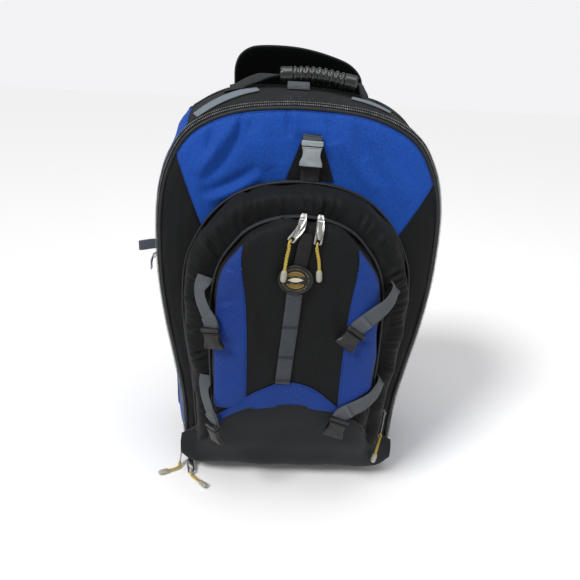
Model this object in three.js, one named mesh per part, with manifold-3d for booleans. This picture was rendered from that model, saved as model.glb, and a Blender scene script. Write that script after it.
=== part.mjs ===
import * as THREE from 'three';
import { mergeVertices } from 'three/addons/utils/BufferGeometryUtils.js';
import Module from 'manifold-3d';

// Wheeled backpack, standing. Millimetres: x to the right, y to the back, z up, floor at z = 0.
// Every piece is placed from the plane of the main zip, and the whole bag is then moved back so
// that the middle of the stand bar's underside is at the origin.

// Driving dimensions
const BODY_WIDTH = 378;          // front outline at its widest
const BODY_TOP = 535;            // top of the front outline above the floor
const TRAY_BOTTOM = 14;          // underside of the bag above the floor
const BODY_DEPTH = 150;          // main zip to back panel
const BACK_WIDTH = 376;          // back outline at its widest
const TOP_SWELL = 12;            // how far the top gusset crowns between front and back
const SIDE_SWELL = 4;            // how far the sides bulge
const RIGHT_SAG = 34;            // how much lower the top gusset's right shoulder hangs
const CLOTH = 2;                 // cloth wall
const GAP = 0.3;                 // clearance between neighbours
const CORNER_HALF = 148;         // where the black top gusset meets the blue sides
const TRAY_HEIGHT = 34;
const TRAY_WALL = 3;
const ZIP_BAND = 8.5;            // main zip, edge to front panel
const ZIP_DEEP = 8;              // main zip, plane to gusset
const PANEL_CROWN = 18;          // front panel in front of the zip plane

const BIG_WIDTH = 294;
const BIG_TOP = 440;
const BIG_DEPTH = 47;
const SMALL_WIDTH = 214;
const SMALL_TOP = 409;
const SMALL_DEPTH = 30;
const POCKET_BOTTOM = 25;
const ARCH_ZIP = 3;              // how far a pocket's zip band stands proud
const ARCH_ZIP_WIDE = 10;

const STAND_BAR_Y = 32;
const STAND_BAR_WIDE = 220;
const STAND_BAR_DEEP = 26;

const WHEEL_DIAMETER = 66;
const WHEEL_WIDE = 24;
const WHEEL_X = 138;
const WHEEL_Y = 132;
const AXLE_DIAMETER = 8;

const TUBE_X = 50;               // trolley tubes, centre line each side
const TUBE_WIDE = 20;
const TUBE_DEEP = 13;
const TUBE_WALL = 1.2;
const TUBE_BOTTOM = 78;
const TUBE_TOP = 498;
const BEZEL_HIGH = 12;
const GRIP_HIGH = 38;
const GRIP_WIDE = 128;
const GRIP_BAR = 17;
const PAD_DEPTH = 34;            // back panel to the face of the back pad
const PAD_WALL = 9;
const PAD_WIDE = 264;
const PAD_BOTTOM = 66;

const WEBBING = 1.8;             // webbing thickness
const STRAP_WIDE = 20;           // compression straps
const SHOULDER_WIDE = 62;
const SHOULDER_THICK = 11;
const HAUL_DIAMETER = 22;
const HAUL_LONG = 100;
const HAUL_BORE = 13;
const CORD = 4.2;                // the two twisted strands of a zip pull, together
const TIP = 7.4;

const wasm = await Module();
wasm.setup();
const bag = new THREE.Group();
const V = (x, y, z) => new THREE.Vector3(x, y, z);
const mix = THREE.MathUtils.lerp;

// Colours and finishes
const finish = (color, roughness, metalness = 0) => ({ color, roughness, metalness });
const LOOK = {
  blue: finish(0x1f4fae, 0.85),
  black: finish(0x16171a, 0.85),
  charcoal: finish(0x2f3538, 0.8),
  zip: finish(0x24272a, 0.6),
  plastic: finish(0x1b1d1f, 0.45),
  greyWeb: finish(0x565b5f, 0.8),
  greyBuckle: finish(0x858d90, 0.45),
  metal: finish(0xaaaaa6, 0.3, 1),
  alloy: finish(0x9a9ea2, 0.35, 1),
  yellow: finish(0xb89c34, 0.7),
  rubber: finish(0x1a1b1c, 0.75),
};

function place(name, geometry, look) {
  const mesh = new THREE.Mesh(geometry, new THREE.MeshStandardMaterial(look));
  mesh.name = name;
  mesh.updateMatrixWorld(true);
  bag.add(mesh);
  return mesh;
}

// Closed bodies from rings, sheets and cuts
function fromFaces(points, faces) {
  const geometry = new THREE.BufferGeometry();
  let volume = 0;
  const cross = V(0, 0, 0);
  for (const [a, b, c] of faces) volume += points[a].dot(cross.crossVectors(points[b], points[c]));
  const turned = volume < 0 ? faces.map(([a, b, c]) => [a, c, b]) : faces;
  geometry.setAttribute('position', new THREE.Float32BufferAttribute(
    points.flatMap((p) => [p.x, p.y, p.z]), 3));
  geometry.setIndex(turned.flat());
  return geometry;
}

// Rings of equal length are joined in order. With wrap the last meets the first, otherwise both
// ends are closed by a fan to the ring's middle.
function skin(rings, wrap = false) {
  const n = rings[0].length;
  const points = rings.flat();
  const faces = [];
  const joins = wrap ? rings.length : rings.length - 1;
  for (let k = 0; k < joins; k += 1) {
    const a = k * n;
    const b = ((k + 1) % rings.length) * n;
    for (let i = 0; i < n; i += 1) {
      const j = (i + 1) % n;
      faces.push([a + i, b + i, b + j], [a + i, b + j, a + j]);
    }
  }
  if (!wrap) {
    for (const [start, flip] of [[0, true], [(rings.length - 1) * n, false]]) {
      const middle = V(0, 0, 0);
      for (let i = 0; i < n; i += 1) middle.addScaledVector(points[start + i], 1 / n);
      points.push(middle);
      const m = points.length - 1;
      for (let i = 0; i < n; i += 1) {
        const j = (i + 1) % n;
        faces.push(flip ? [m, start + i, start + j] : [m, start + j, start + i]);
      }
    }
  }
  return fromFaces(points, faces);
}

// A grid of points becomes a sheet of the given thickness behind it.
function sheet(grid, thickness) {
  const rows = grid.length;
  const cols = grid[0].length;
  const back = grid.map((row, r) => row.map((p, c) => {
    const alongRow = grid[r][Math.min(c + 1, cols - 1)].clone().sub(grid[r][Math.max(c - 1, 0)]);
    const alongCol = grid[Math.min(r + 1, rows - 1)][c].clone().sub(grid[Math.max(r - 1, 0)][c]);
    return p.clone().addScaledVector(alongCol.cross(alongRow).normalize(), thickness);
  }));
  const rim = (g) => [
    ...g[0], ...g.slice(1).map((row) => row[cols - 1]),
    ...g[rows - 1].slice(0, -1).reverse(), ...g.slice(1, -1).map((row) => row[0]).reverse()];
  const points = [...grid.flat(), ...back.flat()];
  const at = new Map(points.map((p, i) => [p, i]));
  const faces = [];
  for (let r = 0; r < rows - 1; r += 1) {
    for (let c = 0; c < cols - 1; c += 1) {
      const [a, b] = [r * cols + c, (r + 1) * cols + c];
      const s = rows * cols;
      faces.push([a, b, b + 1], [a, b + 1, a + 1]);
      faces.push([s + a, s + b + 1, s + b], [s + a, s + a + 1, s + b + 1]);
    }
  }
  const [outer, inner] = [rim(grid), rim(back)];
  outer.forEach((p, i) => {
    const j = (i + 1) % outer.length;
    const [a, b, c, d] = [p, outer[j], inner[j], inner[i]].map((q) => at.get(q));
    faces.push([a, b, c], [a, c, d]);
  });
  return fromFaces(points, faces);
}

function solid(geometry) {
  const bare = geometry.clone();
  for (const name of Object.keys(bare.attributes)) {
    if (name !== 'position') bare.deleteAttribute(name);
  }
  const merged = mergeVertices(bare, 1e-4);
  return new wasm.Manifold(new wasm.Mesh({
    numProp: 3,
    vertProperties: new Float32Array(merged.attributes.position.array),
    triVerts: new Uint32Array(merged.index.array),
  }));
}

function geometryOf(body) {
  const mesh = body.getMesh();
  const geometry = new THREE.BufferGeometry();
  geometry.setAttribute('position', new THREE.BufferAttribute(mesh.vertProperties, 3));
  geometry.setIndex(new THREE.BufferAttribute(mesh.triVerts, 1));
  return geometry;
}

// A block between two corners, and a prism through y from a polygon in x and z
function block(low, high) {
  const size = high.clone().sub(low);
  const geometry = new THREE.BoxGeometry(size.x, size.y, size.z);
  geometry.translate(...low.clone().add(high).multiplyScalar(0.5).toArray());
  return solid(geometry);
}

function prism(polygon, yFrom, yTo) {
  const shape = new THREE.Shape(polygon.map(([x, z]) => new THREE.Vector2(x, z)));
  const geometry = new THREE.ExtrudeGeometry(shape, { depth: yTo - yFrom, bevelEnabled: false });
  geometry.rotateX(Math.PI / 2);
  geometry.translate(0, yTo, 0);
  return solid(geometry);
}

// Outlines: a half outline from bottom centre to top centre, mirrored into a ring.
const OUTLINE = [
  { up: 0, front: 0, back: 0 }, { up: 0, front: 0.4, back: 0.45 },
  { up: 0, front: 0.7, back: 0.84 }, { up: 0.012, front: 0.783, back: 0.915 },
  { up: 0.05, front: 0.82, back: 0.952 }, { up: 0.127, front: 0.831, back: 0.962 },
  { up: 0.2, front: 0.847, back: 0.967 }, { up: 0.3, front: 0.892, back: 0.977 },
  { up: 0.42, front: 0.951, back: 0.991 }, { up: 0.54, front: 0.991, back: 1 },
  { up: 0.64, front: 1, back: 1 }, { up: 0.72, front: 0.9935, back: 0.993 },
  { up: 0.78, front: 0.9735, back: 0.983 }, { up: 0.826, front: 0.942, back: 0.965 },
  { up: 0.87, front: 0.8915, back: 0.935 }, { up: 0.905, front: 0.836, back: 0.885 },
  { up: 0.93, front: 0.775, back: 0.83 }, { up: 0.953, front: 0.685, back: 0.755 },
  { up: 0.974, front: 0.556, back: 0.655 }, { up: 0.99, front: 0.38, back: 0.52 },
  { up: 1, front: 0, back: 0 },
];
const BIG_ARCH = [
  { up: 0, wide: 0 }, { up: 0, wide: 0.45 }, { up: 0, wide: 0.80 }, { up: 0.02, wide: 0.86 },
  { up: 0.133, wide: 0.89 }, { up: 0.32, wide: 0.925 }, { up: 0.518, wide: 0.993 },
  { up: 0.663, wide: 1 }, { up: 0.757, wide: 0.96 }, { up: 0.851, wide: 0.837 },
  { up: 0.905, wide: 0.72 }, { up: 0.95, wide: 0.57 }, { up: 0.982, wide: 0.37 },
  { up: 0.996, wide: 0.18 }, { up: 1, wide: 0 },
];
const SMALL_ARCH = [
  { up: 0, wide: 0 }, { up: 0, wide: 0.45 }, { up: 0, wide: 0.85 }, { up: 0.03, wide: 0.92 },
  { up: 0.24, wide: 0.94 }, { up: 0.42, wide: 0.985 }, { up: 0.57, wide: 1 },
  { up: 0.72, wide: 0.985 }, { up: 0.807, wide: 0.935 }, { up: 0.857, wide: 0.865 },
  { up: 0.905, wide: 0.748 }, { up: 0.945, wide: 0.62 }, { up: 0.973, wide: 0.462 },
  { up: 0.993, wide: 0.25 }, { up: 1, wide: 0 },
];

// half and rise are the outline's half width and height; side and top draw it in by so much.
function ring(rows, halfAt, floor, rise, y, side = 0, top = side, swell = 0) {
  const half = Math.max(...rows.map(halfAt));
  const middle = floor + rise / 2;
  const point = (row, hand) => {
    const share = halfAt(row) / half;
    const x = share * (half - side + SIDE_SWELL * swell);
    const crest = TOP_SWELL - (hand > 0 ? RIGHT_SAG * share ** 2 : 0);
    const z = middle + (row.up - 0.5) * (rise - 2 * top) + row.up ** 3 * crest * swell;
    return V(hand * x, y, z);
  };
  const right = rows.map((row) => point(row, 1));
  const left = rows.slice(1, -1).reverse().map((row) => point(row, -1));
  return [...right, ...left];
}

const bodyRise = BODY_TOP - TRAY_BOTTOM;
function bodyRing(y, blend, swell, inset) {
  const half = (row) => mix(row.front * BODY_WIDTH, row.back * BACK_WIDTH, blend) / 2;
  return ring(OUTLINE, half, TRAY_BOTTOM, bodyRise, y, inset, inset, swell);
}
const frontRing = (inset, y) => bodyRing(y, 0, 0, inset);

// Body: gusset from the main zip to the back, as sections along the depth
const DEPTHS = [
  { deep: 0, blend: 0, swell: 0 },
  { deep: 0.22, blend: 0.30, swell: 0.8 },
  { deep: 0.5, blend: 0.60, swell: 1 },
  { deep: 0.8, blend: 0.88, swell: 0.6 },
  { deep: 1, blend: 1, swell: 0 },
];
const gussetFront = ZIP_DEEP + GAP;
function bodyRings(inset) {
  return DEPTHS.map((s) => bodyRing(mix(gussetFront, BODY_DEPTH, s.deep), s.blend, s.swell, inset));
}
const bodyOuter = solid(skin(bodyRings(0)));
const far = 400;
const trayTop = TRAY_BOTTOM + TRAY_HEIGHT;

function addGussets() {
  const wall = solid(skin([...bodyRings(0), ...bodyRings(CLOTH).reverse()], true));
  const cloth = wall.subtract(block(V(-far, -far, 0), V(far, far, trayTop + GAP)));
  const middle = BODY_TOP / 2;
  place('gusset_top', geometryOf(
    cloth.intersect(block(V(-CORNER_HALF, -far, middle), V(CORNER_HALF, far, 2 * far)))),
  LOOK.charcoal);
  const edge = CORNER_HALF + GAP;
  place('gusset_left', geometryOf(
    cloth.intersect(block(V(-far, -far, 0), V(-edge, far, 2 * far)))), LOOK.blue);
  place('gusset_right', geometryOf(
    cloth.intersect(block(V(edge, -far, 0), V(far, far, 2 * far)))), LOOK.blue);
}

// Main zip: the band that rounds the edge between gusset and front panel
const ZIP_PROFILE = [
  { inset: 0, y: 1 }, { inset: 0.06, y: 0.3 }, { inset: 0.35, y: -0.35 }, { inset: 1, y: -0.75 },
  { inset: 1, y: -0.38 }, { inset: 0.6, y: 0.05 }, { inset: 0.4, y: 1 },
];
function addMainZip() {
  const band = solid(skin(
    ZIP_PROFILE.map((p) => frontRing(p.inset * ZIP_BAND, p.y * ZIP_DEEP)), true));
  const end = TRAY_BOTTOM + 12;
  place('main_zip', geometryOf(band.intersect(block(V(-far, -far, end), V(far, far, 2 * far)))),
    LOOK.zip);
}

// Front panel: crowned cloth, flat behind the pockets, blue above a V shaped seam
const PANEL_PROFILE = [
  { inset: 0, crown: 0.34 }, { inset: 8, crown: 0.64 }, { inset: 22, crown: 0.89 },
  { inset: 38, crown: 1 },
];
const panelRing = (row, behind = 0) => frontRing(
  ZIP_BAND + GAP + row.inset, -row.crown * PANEL_CROWN + behind);
const SEAM_V = [
  { x: -1.1, up: 0.865 }, { x: -0.81, up: 0.841 }, { x: -0.70, up: 0.68 }, { x: 0.73, up: 0.675 },
  { x: 0.90, up: 0.805 }, { x: 1.1, up: 0.82 },
];
function addFrontPanel() {
  const outer = PANEL_PROFILE.map((row) => panelRing(row)).reverse();
  const inner = PANEL_PROFILE.map((row) => panelRing(row, CLOTH));
  const wall = solid(skin([...outer, ...inner]));
  const seam = (drop) => [
    ...SEAM_V.map((p) => [p.x * BODY_WIDTH / 2, TRAY_BOTTOM + p.up * bodyRise - drop]),
    [far, 2 * far], [-far, 2 * far]];
  place('front_panel_top', geometryOf(wall.intersect(prism(seam(0), -far, far))), LOOK.blue);
  place('front_panel_sides', geometryOf(wall.subtract(prism(seam(GAP), -far, far))), LOOK.black);
}

// Back edge of the front panel block, used to keep the base panel clear of it
const panelBlock = () => solid(skin([
  ...PANEL_PROFILE.map((row) => panelRing(row, -GAP)).reverse(),
  frontRing(ZIP_BAND, ZIP_DEEP)]));

// Pockets: a gusset that rounds into a crowned face
const bigFront = PANEL_CROWN + GAP;
const BIG_PROFILE = [
  { deep: 0, side: 0, top: 0 }, { deep: 0.27, side: 0.5, top: 0 }, { deep: 0.6, side: 2, top: 0 },
  { deep: 0.84, side: 6, top: 1 }, { deep: 0.96, side: 13, top: 5 }, { deep: 1, side: 26, top: 18 },
];
const smallFront = bigFront + BIG_DEPTH + GAP;
const SMALL_PROFILE = [
  { deep: 0, side: 0, top: 0 }, { deep: 0.4, side: 1, top: 0 }, { deep: 0.7, side: 3, top: 1 },
  { deep: 0.88, side: 8, top: 4 }, { deep: 0.97, side: 16, top: 11 }, { deep: 1, side: 30, top: 26 },
];
const bigRing = (y, side, top) => ring(BIG_ARCH, (r) => r.wide * BIG_WIDTH / 2,
  POCKET_BOTTOM, BIG_TOP - POCKET_BOTTOM, y, side, top);
const smallRing = (y, side, top) => ring(SMALL_ARCH, (r) => r.wide * SMALL_WIDTH / 2,
  POCKET_BOTTOM, SMALL_TOP - POCKET_BOTTOM, y, side, top);

function pocketShell(makeRing, profile, start, depth) {
  const outer = profile.map((p) => makeRing(-start - p.deep * depth, p.side, p.top)).reverse();
  const inner = profile.map((p) => makeRing(
    Math.min(-start, -start - p.deep * depth + CLOTH), p.side + CLOTH, p.top + CLOTH));
  return solid(skin([...outer, ...inner]));
}

// The base panel's upper edge, as half widths and heights; both pockets end on it.
const BASE_HALF = 156;
const BASE_TOP = 155;
const BASE_EDGE = [
  { x: 0, up: 1, y: -1 }, { x: 0.35, up: 0.961, y: -0.99 }, { x: 0.57, up: 0.845, y: -0.965 },
  { x: 0.686, up: 0.60, y: -0.67 }, { x: 0.82, up: 0.458, y: -0.27 }, { x: 1, up: 0.303, y: -0.1 },
];
const faceY = smallFront + SMALL_DEPTH;
const mirrored = (rows) => [
  ...rows.slice(1).reverse().map((r) => ({ ...r, x: -r.x })), ...rows];
function belowBase(lift) {
  const edge = mirrored(BASE_EDGE).map((r) => [r.x * BASE_HALF, r.up * BASE_TOP + lift]);
  const end = edge[0][1];
  return prism([[-far, end], ...edge, [far, end], [far, -far], [-far, -far]], -far, far);
}

function archZip(makeRing, start) {
  const rings = [
    makeRing(-start, -ARCH_ZIP, -ARCH_ZIP), makeRing(-start - ARCH_ZIP_WIDE, -ARCH_ZIP, -ARCH_ZIP),
    makeRing(-start - ARCH_ZIP_WIDE, -GAP, -GAP), makeRing(-start, -GAP, -GAP)];
  return solid(skin(rings, true)).subtract(belowBase(GAP));
}

const BIG_ZIP_START = bigFront;
const SMALL_ZIP_START = smallFront + 1;
let smallShell;
function addPockets() {
  const bigShell = pocketShell(bigRing, BIG_PROFILE, bigFront, BIG_DEPTH);
  place('big_pocket', geometryOf(bigShell.subtract(belowBase(GAP))), LOOK.black);
  place('big_pocket_zip', geometryOf(archZip(bigRing, BIG_ZIP_START)), LOOK.zip);
  smallShell = pocketShell(smallRing, SMALL_PROFILE, smallFront, SMALL_DEPTH)
    .subtract(belowBase(GAP));
  place('small_pocket_zip', geometryOf(archZip(smallRing, SMALL_ZIP_START)), LOOK.zip);
}

// Sewn pieces of the small pocket's face, as half widths and heights
const SMILE = [
  { x: -0.9, up: 0.868 }, { x: -0.645, up: 1.045 }, { x: -0.336, up: 1.194 },
  { x: 0, up: 1.258 }, { x: 0.336, up: 1.19 }, { x: 0.6, up: 1.045 }, { x: 0.86, up: 0.868 },
];
const STRIP = [
  { x: 0.655, up: 0.872 }, { x: 0.61, up: 0.78 }, { x: 0.575, up: 0.66 }, { x: 0.56, up: 0.36 },
];
const smallHalf = SMALL_WIDTH / 2;

// A polygon moved outwards by the seam gap
function grown(polygon, by) {
  const n = polygon.length;
  const area = polygon.reduce((sum, [x, z], i) => {
    const [nx, nz] = polygon[(i + 1) % n];
    return sum + x * nz - nx * z;
  }, 0);
  const outward = (from, to) => new THREE.Vector2(to[1] - from[1], from[0] - to[0])
    .normalize().multiplyScalar(Math.sign(area));
  return polygon.map((point, i) => {
    const a = outward(polygon[(i + n - 1) % n], point);
    const b = outward(point, polygon[(i + 1) % n]);
    const middle = a.clone().add(b).normalize();
    const reach = by / Math.max(middle.dot(a), 0.3);
    return [point[0] + middle.x * reach, point[1] + middle.y * reach];
  });
}

function cutFaces() {
  const sewnTo = -smallFront - SMALL_DEPTH / 2;
  const cutBy = (polygon) => prism(polygon, -far, sewnTo);
  const smile = [...SMILE.map((p) => [p.x * smallHalf, p.up * BASE_TOP]),
    [smallHalf, 0], [-smallHalf, 0]];
  const rim = 14;
  const arc = smallRing(0, rim, rim)
    .filter((p) => p.x > STRIP[0].x * smallHalf + 1 && p.z > BASE_TOP * 0.8)
    .map((p) => [p.x, p.z]);
  const strip = [...STRIP.map((p) => [p.x * smallHalf, p.up * SMALL_TOP]),
    [arc[0][0], BASE_TOP * 0.8], ...arc];
  const smileCut = cutBy(grown(smile, GAP));
  let rest = smallShell.subtract(smileCut);
  place('pocket_smile', geometryOf(smallShell.intersect(cutBy(smile))), LOOK.blue);
  for (const [name, side] of [['left', -1], ['right', 1]]) {
    const turned = (polygon) => polygon.map(([x, z]) => [side * x, z]);
    place(`pocket_strip_${name}`, geometryOf(
      smallShell.intersect(cutBy(turned(strip))).subtract(smileCut)), LOOK.blue);
    rest = rest.subtract(cutBy(turned(grown(strip, GAP))));
  }
  return rest;
}

// Base panel: wraps under the front edge and climbs over the lower ends of the pockets
const BASE_COLUMNS = [
  { foot: 0.33, low: 1, toeY: -38, toeZ: 25 }, { foot: 0.33, low: 1, toeY: -38, toeZ: 25 },
  { foot: 0.58, low: 1, toeY: -38, toeZ: 25 }, { foot: 0.78, low: 1, toeY: -37, toeZ: 25 },
  { foot: 0.92, low: 1.05, toeY: -33, toeZ: 25 }, { foot: 0.99, low: 1.5, toeY: -22, toeZ: 29 },
];
const BASE_CLOTH = 2.4;
function addBasePanel() {
  const bulge = 5;
  const columns = BASE_EDGE.map((edge, i) => {
    const col = BASE_COLUMNS[i];
    const x = i === 0 ? 0 : col.foot * BASE_HALF;
    const low = col.low * (TRAY_BOTTOM + 1);
    const top = V(edge.x * BASE_HALF, edge.y * faceY, edge.up * BASE_TOP);
    const toe = V(mix(x, top.x, 0.4), col.toeY, col.toeZ);
    const upper = (t) => toe.clone().lerp(top, t).add(V(0, -bulge * Math.sin(Math.PI * t), 0));
    return [V(x, ZIP_DEEP, low), V(x, col.toeY / 2, low + 1), toe, upper(0.35), upper(0.7), top];
  });
  const grid = columns[0].map((_, r) => {
    const right = columns.map((c) => c[r]);
    const left = right.slice(1).reverse().map((p) => V(-p.x, p.y, p.z));
    return new THREE.CatmullRomCurve3([...left, ...right], false, 'centripetal').getPoints(20);
  });
  const cloth = solid(sheet(grid, -BASE_CLOTH)).intersect(belowBase(0)).subtract(panelBlock());
  place('base_panel', geometryOf(cloth), LOOK.charcoal);
}

// Base tray with wheel housings, the stand bar and the wheels
const wheelZ = WHEEL_DIAMETER / 2;
const cylinderX = (radius, from, to, y, z, sides = 24) => {
  const geometry = new THREE.CylinderGeometry(radius, radius, to - from, sides);
  geometry.rotateZ(Math.PI / 2);
  geometry.translate((from + to) / 2, y, z);
  return solid(geometry);
};
const kickTop = 76;
function addTray() {
  const full = bodyOuter.intersect(block(V(-far, -far, 0), V(far, far, trayTop)));
  const hollow = solid(skin(bodyRings(TRAY_WALL))).intersect(block(
    V(-far, gussetFront + TRAY_WALL, TRAY_BOTTOM + TRAY_WALL),
    V(far, BODY_DEPTH - TRAY_WALL, far)));
  let tray = full.subtract(hollow);
  const wellHalf = WHEEL_WIDE / 2 + 2.5;
  const wellRadius = wheelZ + 4;
  const backOf = BODY_DEPTH - TRAY_WALL;
  tray = tray.add(block(V(-WHEEL_X, backOf, TRAY_BOTTOM), V(WHEEL_X, BODY_DEPTH, kickTop)));
  for (const side of [-1, 1]) {
    const reach = wellRadius + TRAY_WALL;
    const [a, b] = [side * WHEEL_X - wellHalf, side * WHEEL_X + wellHalf];
    const housing = block(V(a - TRAY_WALL, WHEEL_Y - reach, TRAY_BOTTOM),
      V(b + TRAY_WALL, BODY_DEPTH, wheelZ + reach)).intersect(bodyOuter);
    tray = tray.add(housing).subtract(cylinderX(wellRadius, a, b, WHEEL_Y, wheelZ));
    tray = tray.add(cylinderX(AXLE_DIAMETER / 2, a - 1, b + 1, WHEEL_Y, wheelZ, 12));
  }
  place('base_tray', geometryOf(tray), LOOK.plastic);
}

function addStandBar() {
  const half = STAND_BAR_WIDE / 2;
  const chamfer = 4;
  const shape = new THREE.Shape([
    [-half + chamfer, 0], [half - chamfer, 0], [half, chamfer], [half, TRAY_BOTTOM - GAP],
    [-half, TRAY_BOTTOM - GAP], [-half, chamfer]].map(([x, z]) => new THREE.Vector2(x, z)));
  const geometry = new THREE.ExtrudeGeometry(shape, { depth: STAND_BAR_DEEP, bevelEnabled: false });
  geometry.rotateX(Math.PI / 2);
  geometry.translate(0, STAND_BAR_Y + STAND_BAR_DEEP / 2, 0);
  place('stand_bar', geometry, LOOK.rubber);
}

// Wheel section: share of the wheel's radius and half width, from the bore round the tyre
const WHEEL_SECTION = [
  { r: 0, w: 1 }, { r: 0.42, w: 1 }, { r: 0.5, w: 0.6 }, { r: 0.72, w: 0.6 }, { r: 0.8, w: 0.95 },
  { r: 0.94, w: 0.9 }, { r: 1, w: 0.5 },
];
function addWheel(name, side) {
  const bore = AXLE_DIAMETER / 2 + GAP + 0.1;
  const right = WHEEL_SECTION.map((p) => new THREE.Vector2(
    Math.max(p.r * wheelZ, bore), p.w * WHEEL_WIDE / 2));
  const left = right.map((p) => new THREE.Vector2(p.x, -p.y)).reverse();
  const geometry = new THREE.LatheGeometry([...right, ...left, right[0]].reverse(), 22);
  geometry.rotateZ(Math.PI / 2);
  geometry.translate(side * WHEEL_X, WHEEL_Y, wheelZ);
  place(name, geometryOf(solid(geometry)), LOOK.rubber);
}

// Back panel, trolley, its cover pad and the flap over the grip
const backY = BODY_DEPTH + GAP;
const padBack = backY + CLOTH + GAP;
const tubeY = padBack + TUBE_DEEP / 2;
function addBackPanel() {
  const panel = solid(skin([bodyRing(backY + CLOTH, 1, 0, 0), bodyRing(backY, 1, 0, 0)]));
  const low = kickTop - 12;
  place('back_panel', geometryOf(panel.intersect(block(V(-far, 0, low), V(far, far, 2 * far)))),
    LOOK.black);
}

const around = (x, y, halfX, halfY, from, to) => block(
  V(x - halfX, y - halfY, from), V(x + halfX, y + halfY, to));
const barHalfX = TUBE_WIDE / 2 - TUBE_WALL - GAP;
const barHalfY = TUBE_DEEP / 2 - TUBE_WALL - GAP;
const bezelTop = TUBE_TOP + GAP + BEZEL_HIGH;
const bezelHalf = GRIP_WIDE / 2 + 10;
function addTrolley() {
  const sides = [['left', -TUBE_X], ['right', TUBE_X]];
  let bezel = around(0, tubeY, bezelHalf, TUBE_DEEP / 2, TUBE_TOP + GAP, bezelTop)
    .add(around(0, tubeY + TUBE_DEEP / 2, bezelHalf, TUBE_DEEP / 2, TUBE_TOP + GAP, bezelTop));
  const bars = [];
  for (const [name, x] of sides) {
    const inX = TUBE_WIDE / 2 - TUBE_WALL;
    const inY = TUBE_DEEP / 2 - TUBE_WALL;
    const tube = around(x, tubeY, TUBE_WIDE / 2, TUBE_DEEP / 2, TUBE_BOTTOM, TUBE_TOP)
      .subtract(around(x, tubeY, inX, inY, TUBE_BOTTOM + 3, far * 2));
    place(`trolley_tube_${name}`, geometryOf(tube), LOOK.alloy);
    bezel = bezel.subtract(around(x, tubeY, inX, inY, 0, far * 2));
    bars.push(around(x, tubeY, barHalfX, barHalfY, TUBE_BOTTOM + 6, bezelTop + 8));
  }
  place('trolley_bezel', geometryOf(bezel), LOOK.plastic);
  const half = GRIP_WIDE / 2;
  const inner = half - 24;
  const under = GRIP_HIGH - GRIP_BAR;
  const corner = 12;
  const outline = [[-half, 0], [-half, GRIP_HIGH - corner], [-half + corner / 3, GRIP_HIGH - corner / 3],
    [-half + corner, GRIP_HIGH], [half - corner, GRIP_HIGH], [half - corner / 3, GRIP_HIGH - corner / 3],
    [half, GRIP_HIGH - corner], [half, 0], [inner, 0], [inner, under - 6], [inner - 6, under],
    [-inner + 6, under], [-inner, under - 6], [-inner, 0]];
  const gripDeep = 18;
  const grip = prism(outline, padBack, padBack + gripDeep).translate(0, 0, bezelTop + GAP);
  place('trolley_handle', geometryOf(bars.reduce((a, b) => a.add(b), grip)), LOOK.plastic);
}

// Back pad: rows of half width and height shares, drawn in towards its face
const PAD_OUTLINE = [
  { up: 0, wide: 0 }, { up: 0, wide: 0.5 }, { up: 0, wide: 0.88 }, { up: 0.03, wide: 0.97 },
  { up: 0.1, wide: 1 }, { up: 0.4, wide: 0.94 }, { up: 0.7, wide: 0.95 }, { up: 0.93, wide: 0.94 },
  { up: 0.98, wide: 0.9 }, { up: 1, wide: 0.8 }, { up: 1, wide: 0.4 }, { up: 1, wide: 0 },
];
const PAD_PROFILE = [
  { deep: 0, side: 0 }, { deep: 0.6, side: 1 }, { deep: 0.88, side: 5 }, { deep: 1, side: 16 },
];
function addBackPad() {
  const top = TUBE_TOP + 6;
  const padRing = (y, side) => ring(PAD_OUTLINE, (r) => r.wide * PAD_WIDE / 2,
    PAD_BOTTOM, top - PAD_BOTTOM, y, side);
  const outer = PAD_PROFILE.map((p) => padRing(padBack + p.deep * PAD_DEPTH, p.side)).reverse();
  const inner = [{ y: padBack, side: PAD_WALL / 2 },
    { y: padBack + PAD_DEPTH - PAD_WALL, side: PAD_WALL }].map((p) => padRing(p.y, p.side));
  const open = block(V(-far, 0, TUBE_TOP - 2), V(far, far, far * 2));
  place('back_pad', geometryOf(solid(skin([...outer, ...inner])).subtract(open)), LOOK.black);
}

const FLAP = [
  { x: -0.53, up: 0 }, { x: -0.525, up: 0.48 }, { x: -0.486, up: 0.73 }, { x: -0.41, up: 0.92 },
  { x: -0.3, up: 1 }, { x: -0.03, up: 0.98 }, { x: 0.21, up: 0.81 }, { x: 0.37, up: 0.59 },
  { x: 0.445, up: 0.33 }, { x: 0.47, up: 0 },
];
const FLAP_WIDE = 181;
const FLAP_HIGH = 63;
const FLAP_THICK = 3;
const FLAP_Y = BODY_DEPTH - 11;
function addFlap() {
  const top = new THREE.CatmullRomCurve3(FLAP.map(
    (p) => V(p.x * FLAP_WIDE, p.up * FLAP_HIGH, 0)), false, 'centripetal').getPoints(18);
  const shape = new THREE.Shape(top.map((p) => new THREE.Vector2(p.x, p.y)));
  const geometry = new THREE.ExtrudeGeometry(shape, { depth: FLAP_THICK, bevelEnabled: false });
  geometry.rotateX(Math.PI / 2 - 0.05);
  geometry.translate(0, FLAP_Y + FLAP_THICK, BODY_TOP + 3);
  place('trolley_flap', geometry, LOOK.black);
}

// Ribbons: webbing of some width along a path, with its flat side facing `facing` at each point
function ribbon(path, facing, width, thickness) {
  const rings = path.map((p, i) => {
    const along = path[Math.min(i + 1, path.length - 1)].clone()
      .sub(path[Math.max(i - 1, 0)]).normalize();
    const face = Array.isArray(facing) ? facing[i] : facing;
    const across = along.clone().cross(face).normalize();
    const out = across.clone().cross(along).normalize();
    const w = (Array.isArray(width) ? width[i] : width) / 2;
    const t = (Array.isArray(thickness) ? thickness[i] : thickness) / 2;
    return [[-w, -t], [w, -t], [w, t], [-w, t]].map(([a, b]) => p.clone()
      .addScaledVector(across, a).addScaledVector(out, b));
  });
  return skin(rings);
}
const smooth = (points, count) => new THREE.CatmullRomCurve3(points, false, 'centripetal')
  .getPoints(count);

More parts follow.
